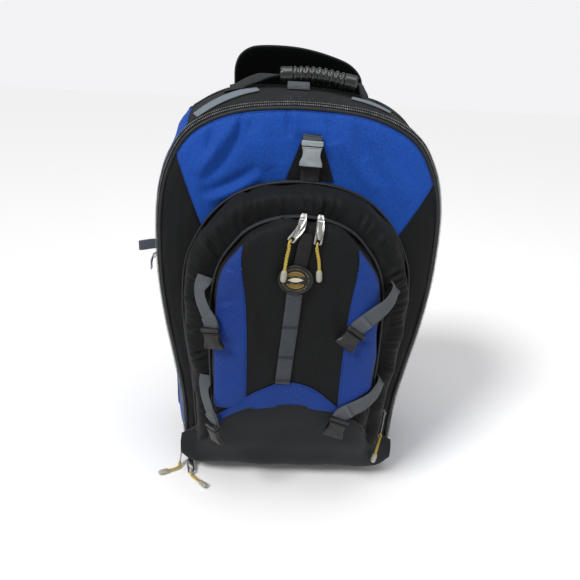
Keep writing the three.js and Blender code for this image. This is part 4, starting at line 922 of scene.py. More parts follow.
pocket = {
    "bottom": 25, "bigWidth": 294, "bigTop": 440, "bigDepth": 47, "smallWidth": 214,
    "smallTop": 409, "smallDepth": 30, "zipWide": 10, "zipProud": 3,
}
bigFront = bag["crown"] + bag["clearance"]
smallFront = bigFront + pocket["bigDepth"] + bag["clearance"]
faceDepth = smallFront + pocket["smallDepth"]


def bigLine(inset=0.0):
    up, wide = bigOutline.T
    return outlineOf(up, wide * pocket["bigWidth"] / 2, pocket["bottom"],
                     pocket["bigTop"] - pocket["bottom"], inset)


def smallLine(inset=0.0):
    up, wide = smallOutline.T
    return outlineOf(up, wide * pocket["smallWidth"] / 2, pocket["bottom"],
                     pocket["smallTop"] - pocket["bottom"], inset)


# Base panel's upper edge: half width and height shares, and how far forward it stands
base = {"half": 156, "top": 164, "cloth": 2.4, "binding": 1.3, "rolled": 2.6}
baseEdge = np.array([
    (0, 1, -1), (0.35, 0.961, -0.99), (0.57, 0.845, -0.965), (0.686, 0.60, -0.67),
    (0.82, 0.458, -0.27), (1, 0.303, -0.1)])
baseEdgeLine = smoothLine(np.vstack([baseEdge[:0:-1] * (-1, 1, 1), baseEdge])[:, :2]
                          * (base["half"], base["top"]), 300)


def baseHeight(x):
    return np.interp(x, baseEdgeLine[:, 0], baseEdgeLine[:, 1])


# The stretch of an outline above the base panel's edge, left to right
def aboveBase(line, count, under=4.0):
    at = crossings(line, line[:, 1] - baseHeight(line[:, 0]) + under)
    return stretch(line, at[0], at[-1], count)


def aboveLevel(line, level, count):
    at = crossings(line, line[:, 1] - level)
    return stretch(line, at[0], at[-1], count)


frontEdge = bodyLine(inset=bag["zipBand"] + bag["clearance"])
bigEdge, smallEdge = bigLine(), smallLine()


# How far forward each surface stands, from its distance to its own edge
def panelDepth(xz):
    near = distanceTo(xz, frontEdge)
    rise = np.interp(near, (0, 8, 22, 38), (0.34, 0.64, 0.89, 1))
    return -bag["crown"] * rise


def bigDepth(xz):
    near = distanceTo(xz, bigEdge) * (1 + 0.5 * ease(330, 430, xz[..., 1]))
    rise = np.interp(near, (0, 0.5, 2, 4, 6, 9, 13, 18, 26),
                     (0, 0.27, 0.6, 0.74, 0.84, 0.91, 0.96, 0.985, 1))
    return -bigFront - pocket["bigDepth"] * rise


def smallDepth(xz):
    near = distanceTo(xz, smallEdge)
    rise = np.interp(near, (0, 1, 3, 5, 8, 12, 16, 22, 30),
                     (0, 0.4, 0.7, 0.8, 0.88, 0.935, 0.97, 0.99, 1))
    return -smallFront - pocket["smallDepth"] * rise


# Reliefs are added along the surface, then the piece's own edges are drawn in as at a seam
def relieved(grid, folds=(), swing=0.0, size=70.0, seed=1, seams=(), seamDrop=1.3,
             inside=bagMiddle):
    normals = normalsOf(grid, inside)
    lift = foldRelief(grid, folds) + swing * ripple(grid, size, seed)
    over, down = runsOf(grid)
    ways = {"first": down, "last": down[-1:] - down, "left": over, "right": over[:, -1:] - over}
    for seam in seams:
        near = ways[seam]
        lift = lift * (1 - 0.75 * np.exp(-(near / 7) ** 2)) - seamDrop * np.exp(-(near / 2.2) ** 2)
    return grid + normals * lift[..., None]


# A line of stitches beside a grid's edge, inset millimetres from it
def seamLine(grid, which, inset):
    if which in ("left", "right"):
        grid = grid.transpose(1, 0, 2)
    if which in ("last", "right"):
        grid = grid[::-1]
    away = runsOf(grid)[1]
    normals = normalsOf(grid, bagMiddle)
    line, out = [], []
    for c in range(grid.shape[1]):
        if away[-1, c] > inset:
            line.append([np.interp(inset, away[:, c], grid[:, c, k]) for k in range(3)])
            out.append([np.interp(inset, away[:, c], normals[:, c, k]) for k in range(3)])
    line, out = np.array(line), unit(out)
    across = unit(np.cross(out, np.gradient(line, axis=0)))
    return line + out * 0.25, across


stitch = {"long": 2.3, "wide": 0.75, "high": 0.6, "spacing": 3.2}


def stitches(name, seams, look, slot="zip_tape"):
    lines, acrosses = zip(*seams)
    copy = bead(name + "Bead", stitch["long"], stitch["wide"], stitch["high"])
    return addCopies(name, lines, acrosses, copy, stitch["spacing"], look, 0.12, 7, slot)


# Gusset: blue sides, charcoal top
gusset = {"rows": 34, "sideCols": 190, "topCols": 170, "swing": 0.9, "zipDepth": 0.47}
gussetFront = zipDeep + bag["clearance"]


def gussetGrids():
    dense = smoothLine(sections, gusset["rows"])
    sides, tops, rights = [], [], []
    for deep, blend, swell in dense:
        line = bodyLine(blend, swell)
        low = crossings(line, line[:, 1] - bag["trayTop"])
        left = crossings(line, line[:, 0] + bag["cornerHalf"])[-1]
        right = crossings(line, line[:, 0] - bag["cornerHalf"])[0]
        y = mix(gussetFront, bag["depth"], deep)
        for store, start, end, count in ((sides, low[0], left, gusset["sideCols"]),
                                         (tops, left, right, gusset["topCols"]),
                                         (rights, right, low[-1], gusset["sideCols"])):
            part = stretch(line, start, end, count)
            store.append(fromPlane(part, np.full(count, y)))
    return [np.array(g) for g in (sides, tops, rights)]


sideFolds = [
    ((-185, 430), (-160, 300), 9, 2.0, 0.8, 0),
]
leftGrid, topGrid, rightGrid = gussetGrids()
sideWaist = np.array([(410, 192), (430, 184), (445, 179), (455, 173), (470, 166), (480, 163),
                      (496, 160), (510, 151)])
tucked = np.minimum(-leftGrid[..., 0], np.interp(leftGrid[..., 2], *sideWaist.T))
leftGrid[..., 0] = mix(leftGrid[..., 0], -tucked, ease(8, 36, leftGrid[..., 1]))
topGrid = relieved(topGrid, swing=1.1, size=80, seed=4, seams=("first", "last", "left", "right"))
leftGrid = relieved(leftGrid, sideFolds, gusset["swing"], 75, 2, ("first", "last", "right"))
rightGrid = relieved(rightGrid, (), gusset["swing"], 75, 3, ("first", "last", "left"))
for name, grid, look, slot, node in (
        ("gussetTop", topGrid, "topCloth", "charcoal_cloth", "gusset_top"),
        ("gussetLeft", leftGrid, "blue", "blue_cloth", "gusset_left"),
        ("gussetRight", rightGrid, "blue", "blue_cloth", "gusset_right")):
    addPiece(name, clothMesh(name, grid), look, slot, node)
print("gussets sewn")


# Main zip: tape round the front edge, two rows of coil, and a piping beside the front panel
mainZip = {"low": 27, "cols": 520, "toothWide": 2.5, "toothLong": 1.4, "toothHigh": 1.8,
           "toothLift": 0.9, "spacing": 2.3, "piping": 2.3, "rows": (6, 9)}
zipProfile = np.array([  # inset share, y share
    (0.0, 1.0), (0.02, 0.75), (0.06, 0.45), (0.14, 0.1), (0.3, -0.2), (0.55, -0.42), (0.85, -0.55),
    (1.0, -0.5)])


def zipPoints(inset, y, count=None):
    line = bodyLine(inset=inset * bag["zipBand"])
    part = aboveLevel(line, mainZip["low"], count or mainZip["cols"])
    return fromPlane(part, np.full(len(part), y * zipDeep))


def addMainZip():
    rows = smoothLine(zipProfile, 14)
    grid = np.array([zipPoints(inset, y) for inset, y in rows])
    addPiece("mainZipTape", clothMesh("mainZipTape", grid, 1.2), "tape", "zip_tape", "main_zip")
    normals = normalsOf(grid, bagMiddle)
    lines, acrosses = [], []
    for row in mainZip["rows"]:
        lines.append(grid[row] + normals[row] * mainZip["toothLift"])
        acrosses.append(unit(np.cross(normals[row], np.gradient(grid[row], axis=0))))
    teeth = bead("coilTooth", mainZip["toothLong"], mainZip["toothWide"], mainZip["toothHigh"])
    addCopies("mainZipCoil", lines, acrosses, teeth, mainZip["spacing"], "coil", 0.15, 3)
    line = zipPoints(0.86, -0.62)
    line[:, 1] += 0.5 * np.sin(np.linspace(0, 60, len(line)))
    addPiece("mainZipPiping", tubeMesh("mainZipPiping", line, mainZip["piping"], 10), "piping",
             "zip_tape")


addMainZip()
print("main zip sewn")

# Front panel: blue above the V shaped seam, black at the sides
panel = {
    "seamLeft": (0.865, 0.68), "seamRight": (0.82, 0.675),   # at the zip and at the arch
    "under": 5, "low": 44, "rows": 46, "topCols": 300, "sideCols": 150,
}
panelFolds = [
    ((-80, 516), (-134, 442), 8, 5.8, 1.0, 3),
    ((-122, 410), (-50, 448), 7, 5.1, 0.9, -4),
    ((-112, 507), (-118, 470), 5, -3.7, 0.7, 0),
    ((-76, 521), (-84, 486), 4, -3.7, 0.8, 0),
    ((-22, 528), (-18, 494), 5, -3.4, 0.8, 0),
    ((25, 526), (34, 488), 5, -3.4, -0.8, 0),
    ((57, 518), (76, 470), 6, -3.7, -0.8, 0),
    ((48, 500), (96, 432), 10, 3.4, 0.8, -5),
    ((100, 470), (140, 420), 11, 2.7, 0.6, 0),
    ((-60, 500), (-40, 455), 10, 3.1, 0.6, 0),
]


def seamHeights(side):
    top, low = panel["seamLeft"] if side < 0 else panel["seamRight"]
    rise = bag["top"] - bag["bottom"]
    return bag["bottom"] + rise * top, bag["bottom"] + rise * low


def addFrontPanel():
    inner = bigLine(panel["under"])
    cuts = []
    for line, which in ((frontEdge, 0), (inner, 1)):
        left = crossings(line, line[:, 1] - seamHeights(-1)[which])[0]
        right = crossings(line, line[:, 1] - seamHeights(1)[which])[-1]
        cuts.append((left, right))
    shares = np.linspace(0, 1, panel["rows"])
    grids = {}
    outer = stretch(frontEdge, *cuts[0], panel["topCols"])
    grids["Top"] = loft(outer, stretch(inner, *cuts[1], panel["topCols"]), shares)
    ends = [crossings(line, line[:, 1] - panel["low"]) for line in (frontEdge, inner)]
    n = panel["sideCols"]
    grids["Left"] = loft(stretch(frontEdge, ends[0][0], cuts[0][0], n),
                         stretch(inner, ends[1][0], cuts[1][0], n), shares)
    grids["Right"] = loft(stretch(frontEdge, cuts[0][1], ends[0][-1], n),
                          stretch(inner, cuts[1][1], ends[1][-1], n), shares)
    for key in grids:
        grids[key] = fromPlane(grids[key], panelDepth(grids[key]))
    grids["Top"] = relieved(grids["Top"], panelFolds, 1.3, 95, 11, ("first", "left", "right"))
    grids["Left"] = relieved(grids["Left"], (), 0.8, 50, 12, ("first", "right"))
    grids["Right"] = relieved(grids["Right"], (), 0.8, 50, 13, ("first", "left"))
    for key, look, slot, *nodes in (("Top", "blue", "blue_cloth", "front_panel_top"),
                                    ("Left", "black", "black_cloth", "front_panel_sides"),
                                    ("Right", "black", "black_cloth")):
        addPiece("frontPanel" + key, clothMesh("frontPanel" + key, grids[key]), look, slot, *nodes)
    return grids


panelGrids = addFrontPanel()
print("front panel sewn")


# Big pocket: its gusset rounds into a face that runs to the small pocket
def gathers(grid, line, depthOf, reach, height, spacing, seed):
    near = distanceTo(grid[..., [0, 2]], line)
    turn = np.arctan2(grid[..., 2] - 250, grid[..., 0])
    rng = np.random.default_rng(seed)
    total = np.zeros(near.shape)
    for _ in range(5):
        total += np.sin(turn * (2 * math.pi / spacing) * rng.uniform(0.6, 1.6)
                        + rng.uniform(0, 6.3)) * rng.uniform(0.4, 1)
    grid = grid.copy()
    grid[..., 1] += height * total / 2 * np.exp(-((near - depthOf) / reach) ** 2)
    return grid


bigFolds = [
    ((-76, 434), (-68, 400), 4, 2.2, 0.8, 0),
    ((0, 438), (7, 420), 4, -2.2, 0.8, 0),
    ((92, 378), (103, 345), 5, 2.0, 0.8, 0),
    ((-126, 380), (-104, 350), 5, 1.8, 0.8, 0),
    ((118, 300), (112, 250), 5, 1.6, 0.8, 0),
]


def addBigPocket():
    cols = 420
    insets = (0, 0.4, 1, 2, 3, 4.5, 6, 8, 10.5, 13.5, 17, 21)
    rows = [aboveBase(bigLine(d), cols) for d in insets]
    inner = aboveBase(smallLine(5), cols)
    rows += [mix(rows[-1], inner, t) for t in np.linspace(0, 1, 12)[1:]]
    flat = np.array(rows)
    grid = fromPlane(flat, bigDepth(flat))
    grid[0, :, 1] = panelDepth(flat[0]) + 1.5
    first = grid[0]
    grid = np.concatenate([[mix(first, grid[1], t) for t in (0, 0.25, 0.5, 0.75)], grid[1:]])
    grid = gathers(grid, bigEdge, 16, 12, 1.6, 0.09, 21)
    grid = relieved(grid, bigFolds, 1.7, 46, 22)
    addPiece("bigPocket", clothMesh("bigPocket", grid), "black", "black_cloth", "big_pocket")


addBigPocket()


# An arch zip: ribbed tape standing proud, its closed coil in a groove, a piping at the front
def addArchZip(name, lineOf, start, node):
    cols = 420
    proud, wide = pocket["zipProud"], pocket["zipWide"]
    profile = [(-0.6, 0.0), (-0.95, 0.08), (-1.0, 0.25), (-0.98, 0.42), (-0.55, 0.48),
               (-0.5, 0.52), (-0.98, 0.58), (-1.0, 0.8), (-0.85, 0.95), (-0.3, 1.0)]

    def at(out, y):
        return fromPlane(aboveBase(lineOf(out * proud), cols, 1.0),
                         np.full(cols, -start - y * wide))

    grid = np.array([at(out, y) for out, y in profile])
    middle = np.array([0, -start - wide / 2, 250])
    addPiece(name, clothMesh(name, grid, 0.8, middle), "archTape", "zip_tape", node)
    edge, slit = at(-0.7, 1.02), at(-0.62, 0.5)
    addPiece(name + "Piping", tubeMesh(name + "Piping", edge, 1.5, 8), "piping", "zip_tape")
    ways = np.broadcast_to((0.0, 1.0, 0.0), slit.shape)
    teeth = bead(name + "Tooth", 1.1, 1.6, 1.1)
    addCopies(name + "Coil", [slit], [ways], teeth, 1.7, "plastic", 0.1, 5)


addArchZip("bigPocketZip", bigLine, bigFront, "big_pocket_zip")
addArchZip("smallPocketZip", smallLine, smallFront + 1, "small_pocket_zip")


# Worn stretch of the big pocket's coil, low at the right
worn = {"inset": 1.0, "low": 118, "high": 215, "spacing": 1.9}


def addWornCoil():
    edge = bigLine(worn["inset"])
    edge = edge[(edge[:, 0] > 0) & (edge[:, 1] > worn["low"]) & (edge[:, 1] < worn["high"])]
    line = fromPlane(smoothLine(edge, 90), np.full(90, -bigFront - pocket["zipWide"] - 0.6))
    line[:, 0] += 0.7 * np.sin(np.linspace(0, 24, 90)) * np.sin(np.linspace(0, 7, 90))
    copy = bead("wornTooth", 1.6, 1.5, 1.0)
    ways = np.broadcast_to((1.0, 0.0, 0.0), line.shape)
    addCopies("wornCoil", [line], [ways], copy, worn["spacing"], "coil", 0.6, 9)


addWornCoil()
print("big pocket sewn")

# Small pocket: one black shell, with the blue strips and smile laid in its face
smallFolds = [
    ((-60, 330), (-50, 250), 7, 1.4, 0.7, 0),
    ((40, 330), (50, 240), 8, 1.2, 0.7, 0),
]
smileScale = 158
smile = np.array([(-0.96, 0.865), (-0.86, 0.93), (-0.645, 1.045), (-0.336, 1.194),
                  (-0.1, 1.255), (0.215, 1.21), (0.52, 1.05), (0.74, 0.885)])
strip = {"inner": [(0.655, 0.872), (0.61, 0.78), (0.575, 0.66), (0.56, 0.5), (0.56, 0.385)],
         "rim": 4, "proud": 1.5, "smileProud": 2.6, "foot": {"Left": 3, "Right": -32}}
stripFolds = [
    ((-98, 348), (-66, 338), 4, 1.6, 0.8, 0),
    ((-100, 296), (-66, 306), 4, 1.5, 0.8, 0),
    ((66, 340), (100, 330), 4, 1.6, 0.8, 0),
    ((62, 262), (98, 250), 4, 1.4, 0.8, 0),
    ((-92, 240), (-66, 228), 4, 1.2, 0.8, 0),
]


def addSmallPocket():
    cols = 360
    insets = (0, 0.3, 0.7, 1.2, 2, 3, 4.2, 5.6, 7.4, 9.6, 12)
    rows = [aboveBase(smallLine(d), cols) for d in insets]
    low = smoothLine(baseEdgeLine[np.abs(baseEdgeLine[:, 0]) < rows[-1][-1, 0]], cols) - (0, 5)
    rows += [mix(rows[-1], low, t) for t in np.linspace(0, 1, 60)[1:]]
    flat = np.array(rows)
    grid = fromPlane(flat, smallDepth(flat))
    grid = relieved(grid, smallFolds, 1.5, 42, 31)
    addPiece("smallPocket", clothMesh("smallPocket", grid), "black", "black_cloth", "small_pocket")


addSmallPocket()


# A piece sewn into the small pocket's face: its edges lie flush, its middle stands a little proud
def laidIn(name, outer, inner, rows, node, folds=(), proud=strip["proud"]):
    flat = loft(outer, inner, np.linspace(0, 1, rows))
    grid = fromPlane(flat, smallDepth(flat))
    normals = normalsOf(grid, bagMiddle)
    lift = proud + foldRelief(grid, smallFolds) + 1.5 * ripple(grid, 42, 31)
    grid = grid + normals * lift[..., None]
    grid = relieved(grid, folds, 0.2, 30, 33, ("first", "last", "left", "right"), 0.8)
    addPiece(name, clothMesh(name, grid, 1.0), "blueFace", "blue_cloth", node)
    return grid


def addFaceCloth():
    half = pocket["smallWidth"] / 2
    top = smoothLine(smile * (half, smileScale), 160)
    x = np.linspace(top[0, 0], top[-1, 0], 160)
    low = np.column_stack([x, baseHeight(x) - 3])
    low[:, 1] = np.minimum(low[:, 1], top[:, 1] - 1.5)
    grids = {"smile": laidIn("pocketSmile", top, low, 26, "pocket_smile", (),
                             strip["smileProud"])}
    rim = aboveBase(smallLine(strip["rim"]), 400)
    for side, name in ((-1, "Left"), (1, "Right")):
        inner = smoothLine(np.array(strip["inner"]) * (side * half, pocket["smallTop"]), 120)
        upper, lower = inner[0], inner[-1]
        edge = rim if side < 0 else rim[::-1]
        start = edge[np.argmin(np.abs(edge[:200, 0] - upper[0]))]
        s = lengthAlong(edge)
        reach = s[np.argmin(np.linalg.norm(edge - start, axis=1))]
        foot = s[np.argmin(np.abs(edge[:150, 1] - (lower[1] - strip["foot"][name])))]
        outer = stretch(edge, foot, reach, 120)[::-1]
        grids[name] = laidIn("pocketStrip" + name, outer, inner, 24,
                             "pocket_strip_" + name.lower(), stripFolds)
    return grids


faceGrids = addFaceCloth()
print("small pocket sewn")

# Base panel: wraps under the front edge and climbs over the pockets' lower ends
baseColumns = np.array([  # foot share, low, toe y, toe z
    (0.33, 1, -38, 25), (0.33, 1, -38, 25), (0.58, 1, -38, 25), (0.78, 1, -37, 25),
    (0.92, 1.05, -33, 25), (0.99, 1.5, -22, 29)])


def addBasePanel():
    columns = []
    for i, (edge, col) in enumerate(zip(baseEdge, baseColumns)):
        x = 0 if i == 0 else col[0] * base["half"]
        low = col[1] * (bag["bottom"] + 1)
        top = np.array([edge[0] * base["half"], edge[2] * faceDepth, edge[1] * base["top"]])
        toe = np.array([mix(x, top[0], 0.4), col[2], col[3]])
        upper = [mix(toe, top, t) - (0, 5 * math.sin(math.pi * t), 0) for t in (0.35, 0.7)]
        columns.append([(x, zipDeep, low), (x, col[2] / 2, low + 1), toe, *upper, top])
    right = np.array(columns)
    both = np.concatenate([right[:0:-1] * (-1, 1, 1), right])
    across = np.array([smoothLine(both[:, r], 240) for r in range(both.shape[1])])
    grid = np.array([smoothLine(column, 70) for column in across.transpose(1, 0, 2)])
    grid = grid.transpose(1, 0, 2)
    middle = np.array([0.0, -20.0, 60.0])
    grid = grid - np.array([0, 0.9, 0]) * ease(0.6, 1, np.linspace(0, 1, 70))[:, None, None]
    grid = grid + normalsOf(grid, middle) * base["cloth"]
    grid = relieved(grid, (), 1.1, 90, 41, ("last",), 0.6, middle)
    addPiece("basePanel", clothMesh("basePanel", grid, base["cloth"], middle), "charcoal",
             "charcoal_cloth", "base_panel")
    edge = grid[-1] + (0, 0.8, -0.5)
    x = edge[:, 0]
    radius = base["binding"] + base["rolled"] * ease(-88, -112, x) * ease(-156, -128, x)
    addPiece("baseBinding", tubeMesh("baseBinding", edge, radius, 12), "binding", "black_cloth")
    return grid


baseGrid = addBasePanel()
print("base panel sewn")


# Rays from a point find where a piece lies on the cloth
def treeOf(*names):
    points, faces = [], []
    for name in names:
        mesh = bpy.data.objects[name].data
        start = len(points)
        points += [v.co[:] for v in mesh.vertices]
        faces += [[start + i for i in f.vertices] for f in mesh.polygons]
    return BVHTree.FromPolygons(points, faces)


def landing(tree, start, way):
    hit, normal, _, _ = tree.ray_cast(Vector(toScene(start)[0]), Vector(way))
    normal = np.array(normal)
    if normal @ np.array(way, float) > 0:
        normal = -normal
    return np.array(hit) * 1000 - (0, zipPlane, 0), normal


topTree = treeOf("gussetTop")
sideTree = treeOf("gussetLeft", "gussetRight")
faceTree = treeOf("frontPanelTop", "bigPocket", "smallPocket", "pocketSmile", "pocketStripLeft",
                  "pocketStripRight")


def onTop(x, y, lift):
    return landing(topTree, (x, y, 700), (0, 0, -1))[0] + (0, 0, lift)


def onFace(x, z, lift, tree=faceTree):
    return landing(tree, (x, -260, z), (0, 1, 0))[0] - (0, lift, 0)


# Two rows of stitches near a strap's end, or a bar tack across it
def strapTacks(name, spots, look, wide=0.8, long=16.0):
    lines, acrosses = [], []
    for spot, along, face in spots:
        across = unit(np.cross(along, face))
        line = np.array([spot + across * t for t in np.linspace(-long / 2, long / 2, 12)])
        lines.append(line)
        acrosses.append(np.broadcast_to(unit(np.asarray(along, float)), line.shape))
    copy = bead(name + "Bead", 1.7, wide, 0.55)
    return addCopies(name, lines, acrosses, copy, 2.2, look, 0.1, 4)


def strapPiece(name, path, facing, width, look, slot, node=None, thick=1.8, **kind):
    mesh = webbingMesh(name, path, facing, width, thick, **kind)
    return addPiece(name, mesh, look, slot, *([node] if node else []))


# Buckles: a waisted body, the other half's shoulders above it, and a raised middle
buckle = {"bevel": 1.1, "foot": 0.5, "waist": 0.38, "shoulder": 0.46}


def addBuckle(name, centre, along, out, long, wide, thick, look, slot, node):
    line = np.array([centre - along * long / 2, centre + along * long / 2])
    foot, waist, shoulder = (buckle[k] * wide for k in ("foot", "waist", "shoulder"))

    def outline(right, count=120):
        left = [(-u, v) for u, v in right[::-1]]
        return softOutline([(u, v * long) for u, v in right + left], count, 2)

    body = outline([(foot, 0), (foot, 0.13), (foot * 0.95, 0.2), (waist * 1.04, 0.36),
                    (waist, 0.52), (waist * 1.04, 0.64), (shoulder * 0.98, 0.76)])
    male = outline([(shoulder, 0.8), (shoulder * 1.04, 0.88), (shoulder, 1.0)])
    ridge = outline([(waist * 0.62, 0.28), (waist * 0.5, 0.46), (waist * 0.62, 0.64)], 72)
    parts = [
        plateMesh("body", body, -thick / 2, thick / 2, line, out, buckle["bevel"]),
        plateMesh("male", male, -thick * 0.45, thick * 0.42, line, out, 0.8),
        plateMesh("ridge", ridge, thick / 2 - 0.5, thick / 2 + 0.35, line, out, 0.35)]
    return dress(joined(name, parts, look), "bag", slot, node)


# Compression straps: round the small pocket's edge to a buckle on its front, with doubled ends
strap = {"wide": 20, "thick": 1.8, "proud": 2.4, "buckleLong": 28, "buckleWide": 27,
         "buckleThick": 6.5, "tongue": 6, "doubled": 17}
straps = {  # start, end and buckle as shares of the small pocket's half width and height
    "UpperLeft": {"from": (-1.06, 0.80), "to": (-0.955, 0.672), "buckle": (-0.92, 0.607),
                  "bow": 11},
    "UpperRight": {"from": (1.13, 0.792), "to": (0.70, 0.683), "buckle": (0.545, 0.623)},
    "LowerLeft": {"from": (-1.04, 0.455), "to": (-0.925, 0.33), "buckle": (-0.88, 0.282),
                  "twist": 0.9, "bow": 8},
    "LowerRight": {"from": (1.09, 0.463), "to": (0.60, 0.367), "buckle": (0.528, 0.31)},
}
smallHalf, smallTop = pocket["smallWidth"] / 2, pocket["smallTop"]


def deepAt(share):
    return -smallFront - share * pocket["smallDepth"] - strap["proud"]


def addStrap(key, look):
    side = math.copysign(1, look["from"][0])
    scale = np.array([smallHalf, smallTop])
    start, end, hold = (np.array(look[k]) * scale for k in ("from", "to", "buckle"))
    across = abs(look["to"][0]) < 0.9
    twist, bow = look.get("twist", 0), look.get("bow", 4)

    def at(t, y, out=0.0):
        x, z = mix(start, end, t)
        return np.array([x + side * out, y, z])

    if across:
        path = [at(0, deepAt(0) + 1.6, 2), at(0.1, deepAt(0.45), 3), at(0.3, deepAt(0.86), 3),
                at(0.55, deepAt(1.06)), at(1, deepAt(1.06))]
        turns = (0.1, 0.9, 0.8, 0.1, 0, 0, 0)
    else:
        path = [at(0, deepAt(0) + 1.6, 2), at(0.3, deepAt(0.4), bow),
                at(0.65, deepAt(0.8), bow * 0.7), at(1, deepAt(1.05), 2)]
        turns = (0.1, 0.9, 0.9, 0.6, 0.5, 0.5)
    last = path[-1]
    along = unit(last - (hold[0], last[1], hold[1]))
    turned = unit(unit(at(0, last[1]) - last) + along)
    path.insert(-1, last + turned * 7)
    path.append(last - along * strap["tongue"])
    facing = unit(np.array([(side * (turns[i] + twist * i / (len(path) - 1)), -1, 0)
                            for i in range(len(path))]))
    strapPiece("strap" + key, path, facing, strap["wide"], "greyWeb", "grey_webbing",
               "strap_" + look["node"])
    out = unit(facing[-1] - along * (along @ facing[-1]))
    line = smoothLine(np.array(path), 80)
    s = lengthAlong(line)
    near = (s > s[-1] - strap["doubled"] - strap["tongue"]) & (s < s[-1] - 1)
    share = np.linspace(0, 1, 80)
    faces = unit(np.column_stack([np.interp(share, np.linspace(0, 1, len(facing)), facing[:, k])
                                  for k in range(3)]))
    double = line[near] + faces[near] * 1.9
    strapPiece("strapEnd" + key, double[::6], faces[near][::6], strap["wide"] - 0.6,
               "greyWeb", "grey_webbing")
    centre = (last - along * (strap["buckleLong"] / 2 + 0.5)
              + out * ((strap["buckleThick"] + strap["thick"]) / 2 + 0.3 + twist))
    addBuckle("buckle" + key, centre, along, out, strap["buckleLong"], strap["buckleWide"],
              strap["buckleThick"], "plastic", "black_plastic", "buckle_" + look["node"])
    spots = []
    for inset in (2.5, 5.5):
        i = int(np.argmax(near)) + int(inset / (s[-1] / 80))
        spots.append((line[i] + faces[i] * 3.0, unit(line[i + 1] - line[i]), faces[i]))
    strapTacks("strapTacks" + key, spots, "paleThread")


for key, node in (("UpperLeft", "upper_left"), ("UpperRight", "upper_right"),
                  ("LowerLeft", "lower_left"), ("LowerRight", "lower_right")):
    addStrap(key, {**straps[key], "node": node})
print("compression straps threaded")

# Patch, folded webbing and buckle above the big pocket
trim = {"x": 9, "patchLow": 443, "patchHigh": 499, "patchWide": 60, "patchNarrow": 20,
        "buckleZ": 477, "strapWide": 23, "foldHigh": 22}


def addTopTrim():
    tree = treeOf("frontPanelTop")
    rows, cols = 26, 26
    grid = np.zeros((rows, cols, 3))
    for r, t in enumerate(np.linspace(0, 1, rows)):
        half = mix(trim["patchNarrow"], trim["patchWide"], t) / 2
        z = mix(trim["patchHigh"], trim["patchLow"], t)
        for c, u in enumerate(np.linspace(-1, 1, cols)):
            grid[r, c] = onFace(trim["x"] + u * half, z, 1.2, tree)
    for _ in range(4):
        grid[1:-1, 1:-1, 1] = (grid[:-2, 1:-1, 1] + grid[2:, 1:-1, 1] + grid[1:-1, :-2, 1]
                               + grid[1:-1, 2:, 1]) / 4
    grid[..., 1] -= 0.9
    addPiece("topPatch", clothMesh("topPatch", grid, 1.6), "black", "black_cloth", "top_patch")
    y = grid[..., 1].min() - 1.6
    x, z = trim["x"], trim["buckleZ"]
    low = [(x, y, z - 8), (x, y - 0.3, z - 18), (x - 0.5, y - 0.8, trim["patchLow"] + 3),
           (x - 0.5, y - 2.5, pocket["bigTop"] + 3)]
    strapPiece("topStrap", low, (0, -1, 0), trim["strapWide"], "blackWeb", "black_webbing",
               "top_strap")
    up = [(x, y, z + 6), (x, y - 0.3, z + 14), (x + 0.5, y, z + trim["foldHigh"])]
    strapPiece("topStrapFold", up, (0, -1, 0), trim["strapWide"], "greyWeb", "grey_webbing")
    back = [(x, y - 2.0, z + 9), (x + 0.3, y - 2.1, z + 15),
            (x + 0.6, y - 1.9, z + trim["foldHigh"] - 2)]
    strapPiece("topStrapEnd", back, (0, -1, 0.05), trim["strapWide"] - 1, "greyWeb",
               "grey_webbing")
    addBuckle("topBuckle", np.array([x, y - 4.2, z]), unit(np.array([0.03, 0, 1.0])),
              np.array([0, -1.0, 0]), 31, 28, 6, "greyPlastic", "grey_plastic", "top_buckle")
    spot = np.array([x + 0.5, y - 3.2, z + trim["foldHigh"] - 5])
    spots = [(spot - (0, 0, drop), (0, 0, 1), (0, -1, 0)) for drop in (0, 3.2)]
    strapTacks("topStrapTacks", spots, "paleThread", 0.8, 18)
    edges = [grid[:, 1], grid[:, -2], grid[1]]
    lines = [line - (0, 0.5, 0) for line in edges]
    acrosses = [unit(np.cross((0, -1, 0), np.gradient(line, axis=0))) for line in lines]
    stitches("patchStitches", list(zip(lines, acrosses)), "thread")


addTopTrim()

# Webbing ladder with its bar tacks, and the round badge above it
ladder = {"x": -5, "top": 322, "low": 197, "lean": 9, "wide": 19, "tacks": (276, 236), "sag": 2.4,
          "lift": 2.0}
badge = {"x": -5, "z": 341, "wide": 42, "high": 37, "thick": 3.2, "arcs": 3}


def addLadder():
    steps = 24
    levels = np.linspace(ladder["top"], ladder["low"], steps)
    held = np.array([ladder["top"] + 6, *ladder["tacks"], ladder["low"]])
    path = []
    for z in levels:
        t = (ladder["top"] - z) / (ladder["top"] - ladder["low"])
        spot = onFace(ladder["x"] - ladder["lean"] * t, z, ladder["lift"])
        free = ease(2, 14, np.abs(held - z).min())
        path.append(spot - (0, ladder["sag"] * free, 0))
    path = np.array(path)
    path[:, 1] = np.convolve(np.pad(path[:, 1], 2, mode="edge"), np.ones(5) / 5, "valid")
    strapPiece("daisyChain", path, (0, -1, 0), ladder["wide"], "daisy", "grey_webbing",
               "daisy_chain")
    spots = []
    for z in (*ladder["tacks"], ladder["low"] + 4):
        i = int(np.abs(path[:, 2] - z).argmin())
        for drop in (-1.6, 0, 1.6):
            spots.append((path[i] + (0, -1.35, drop), (0, 0, 1), (0, -1, 0)))
    strapTacks("daisyTacks", spots, "thread", 1.0, 18.4)
    y = min(onFace(5, z, 0)[1] for z in (392, 375, 358)) - 1.3
    above = [(5.5, y + 1.0, 397), (4, y - 0.6, 384), (1, y - 1.2, 366), (-1, y - 1.2, 352)]
    strapPiece("badgeStrap", above, (0, -1, 0), 16, "blackWeb", "black_webbing", "badge_strap")
    return y - 2.4


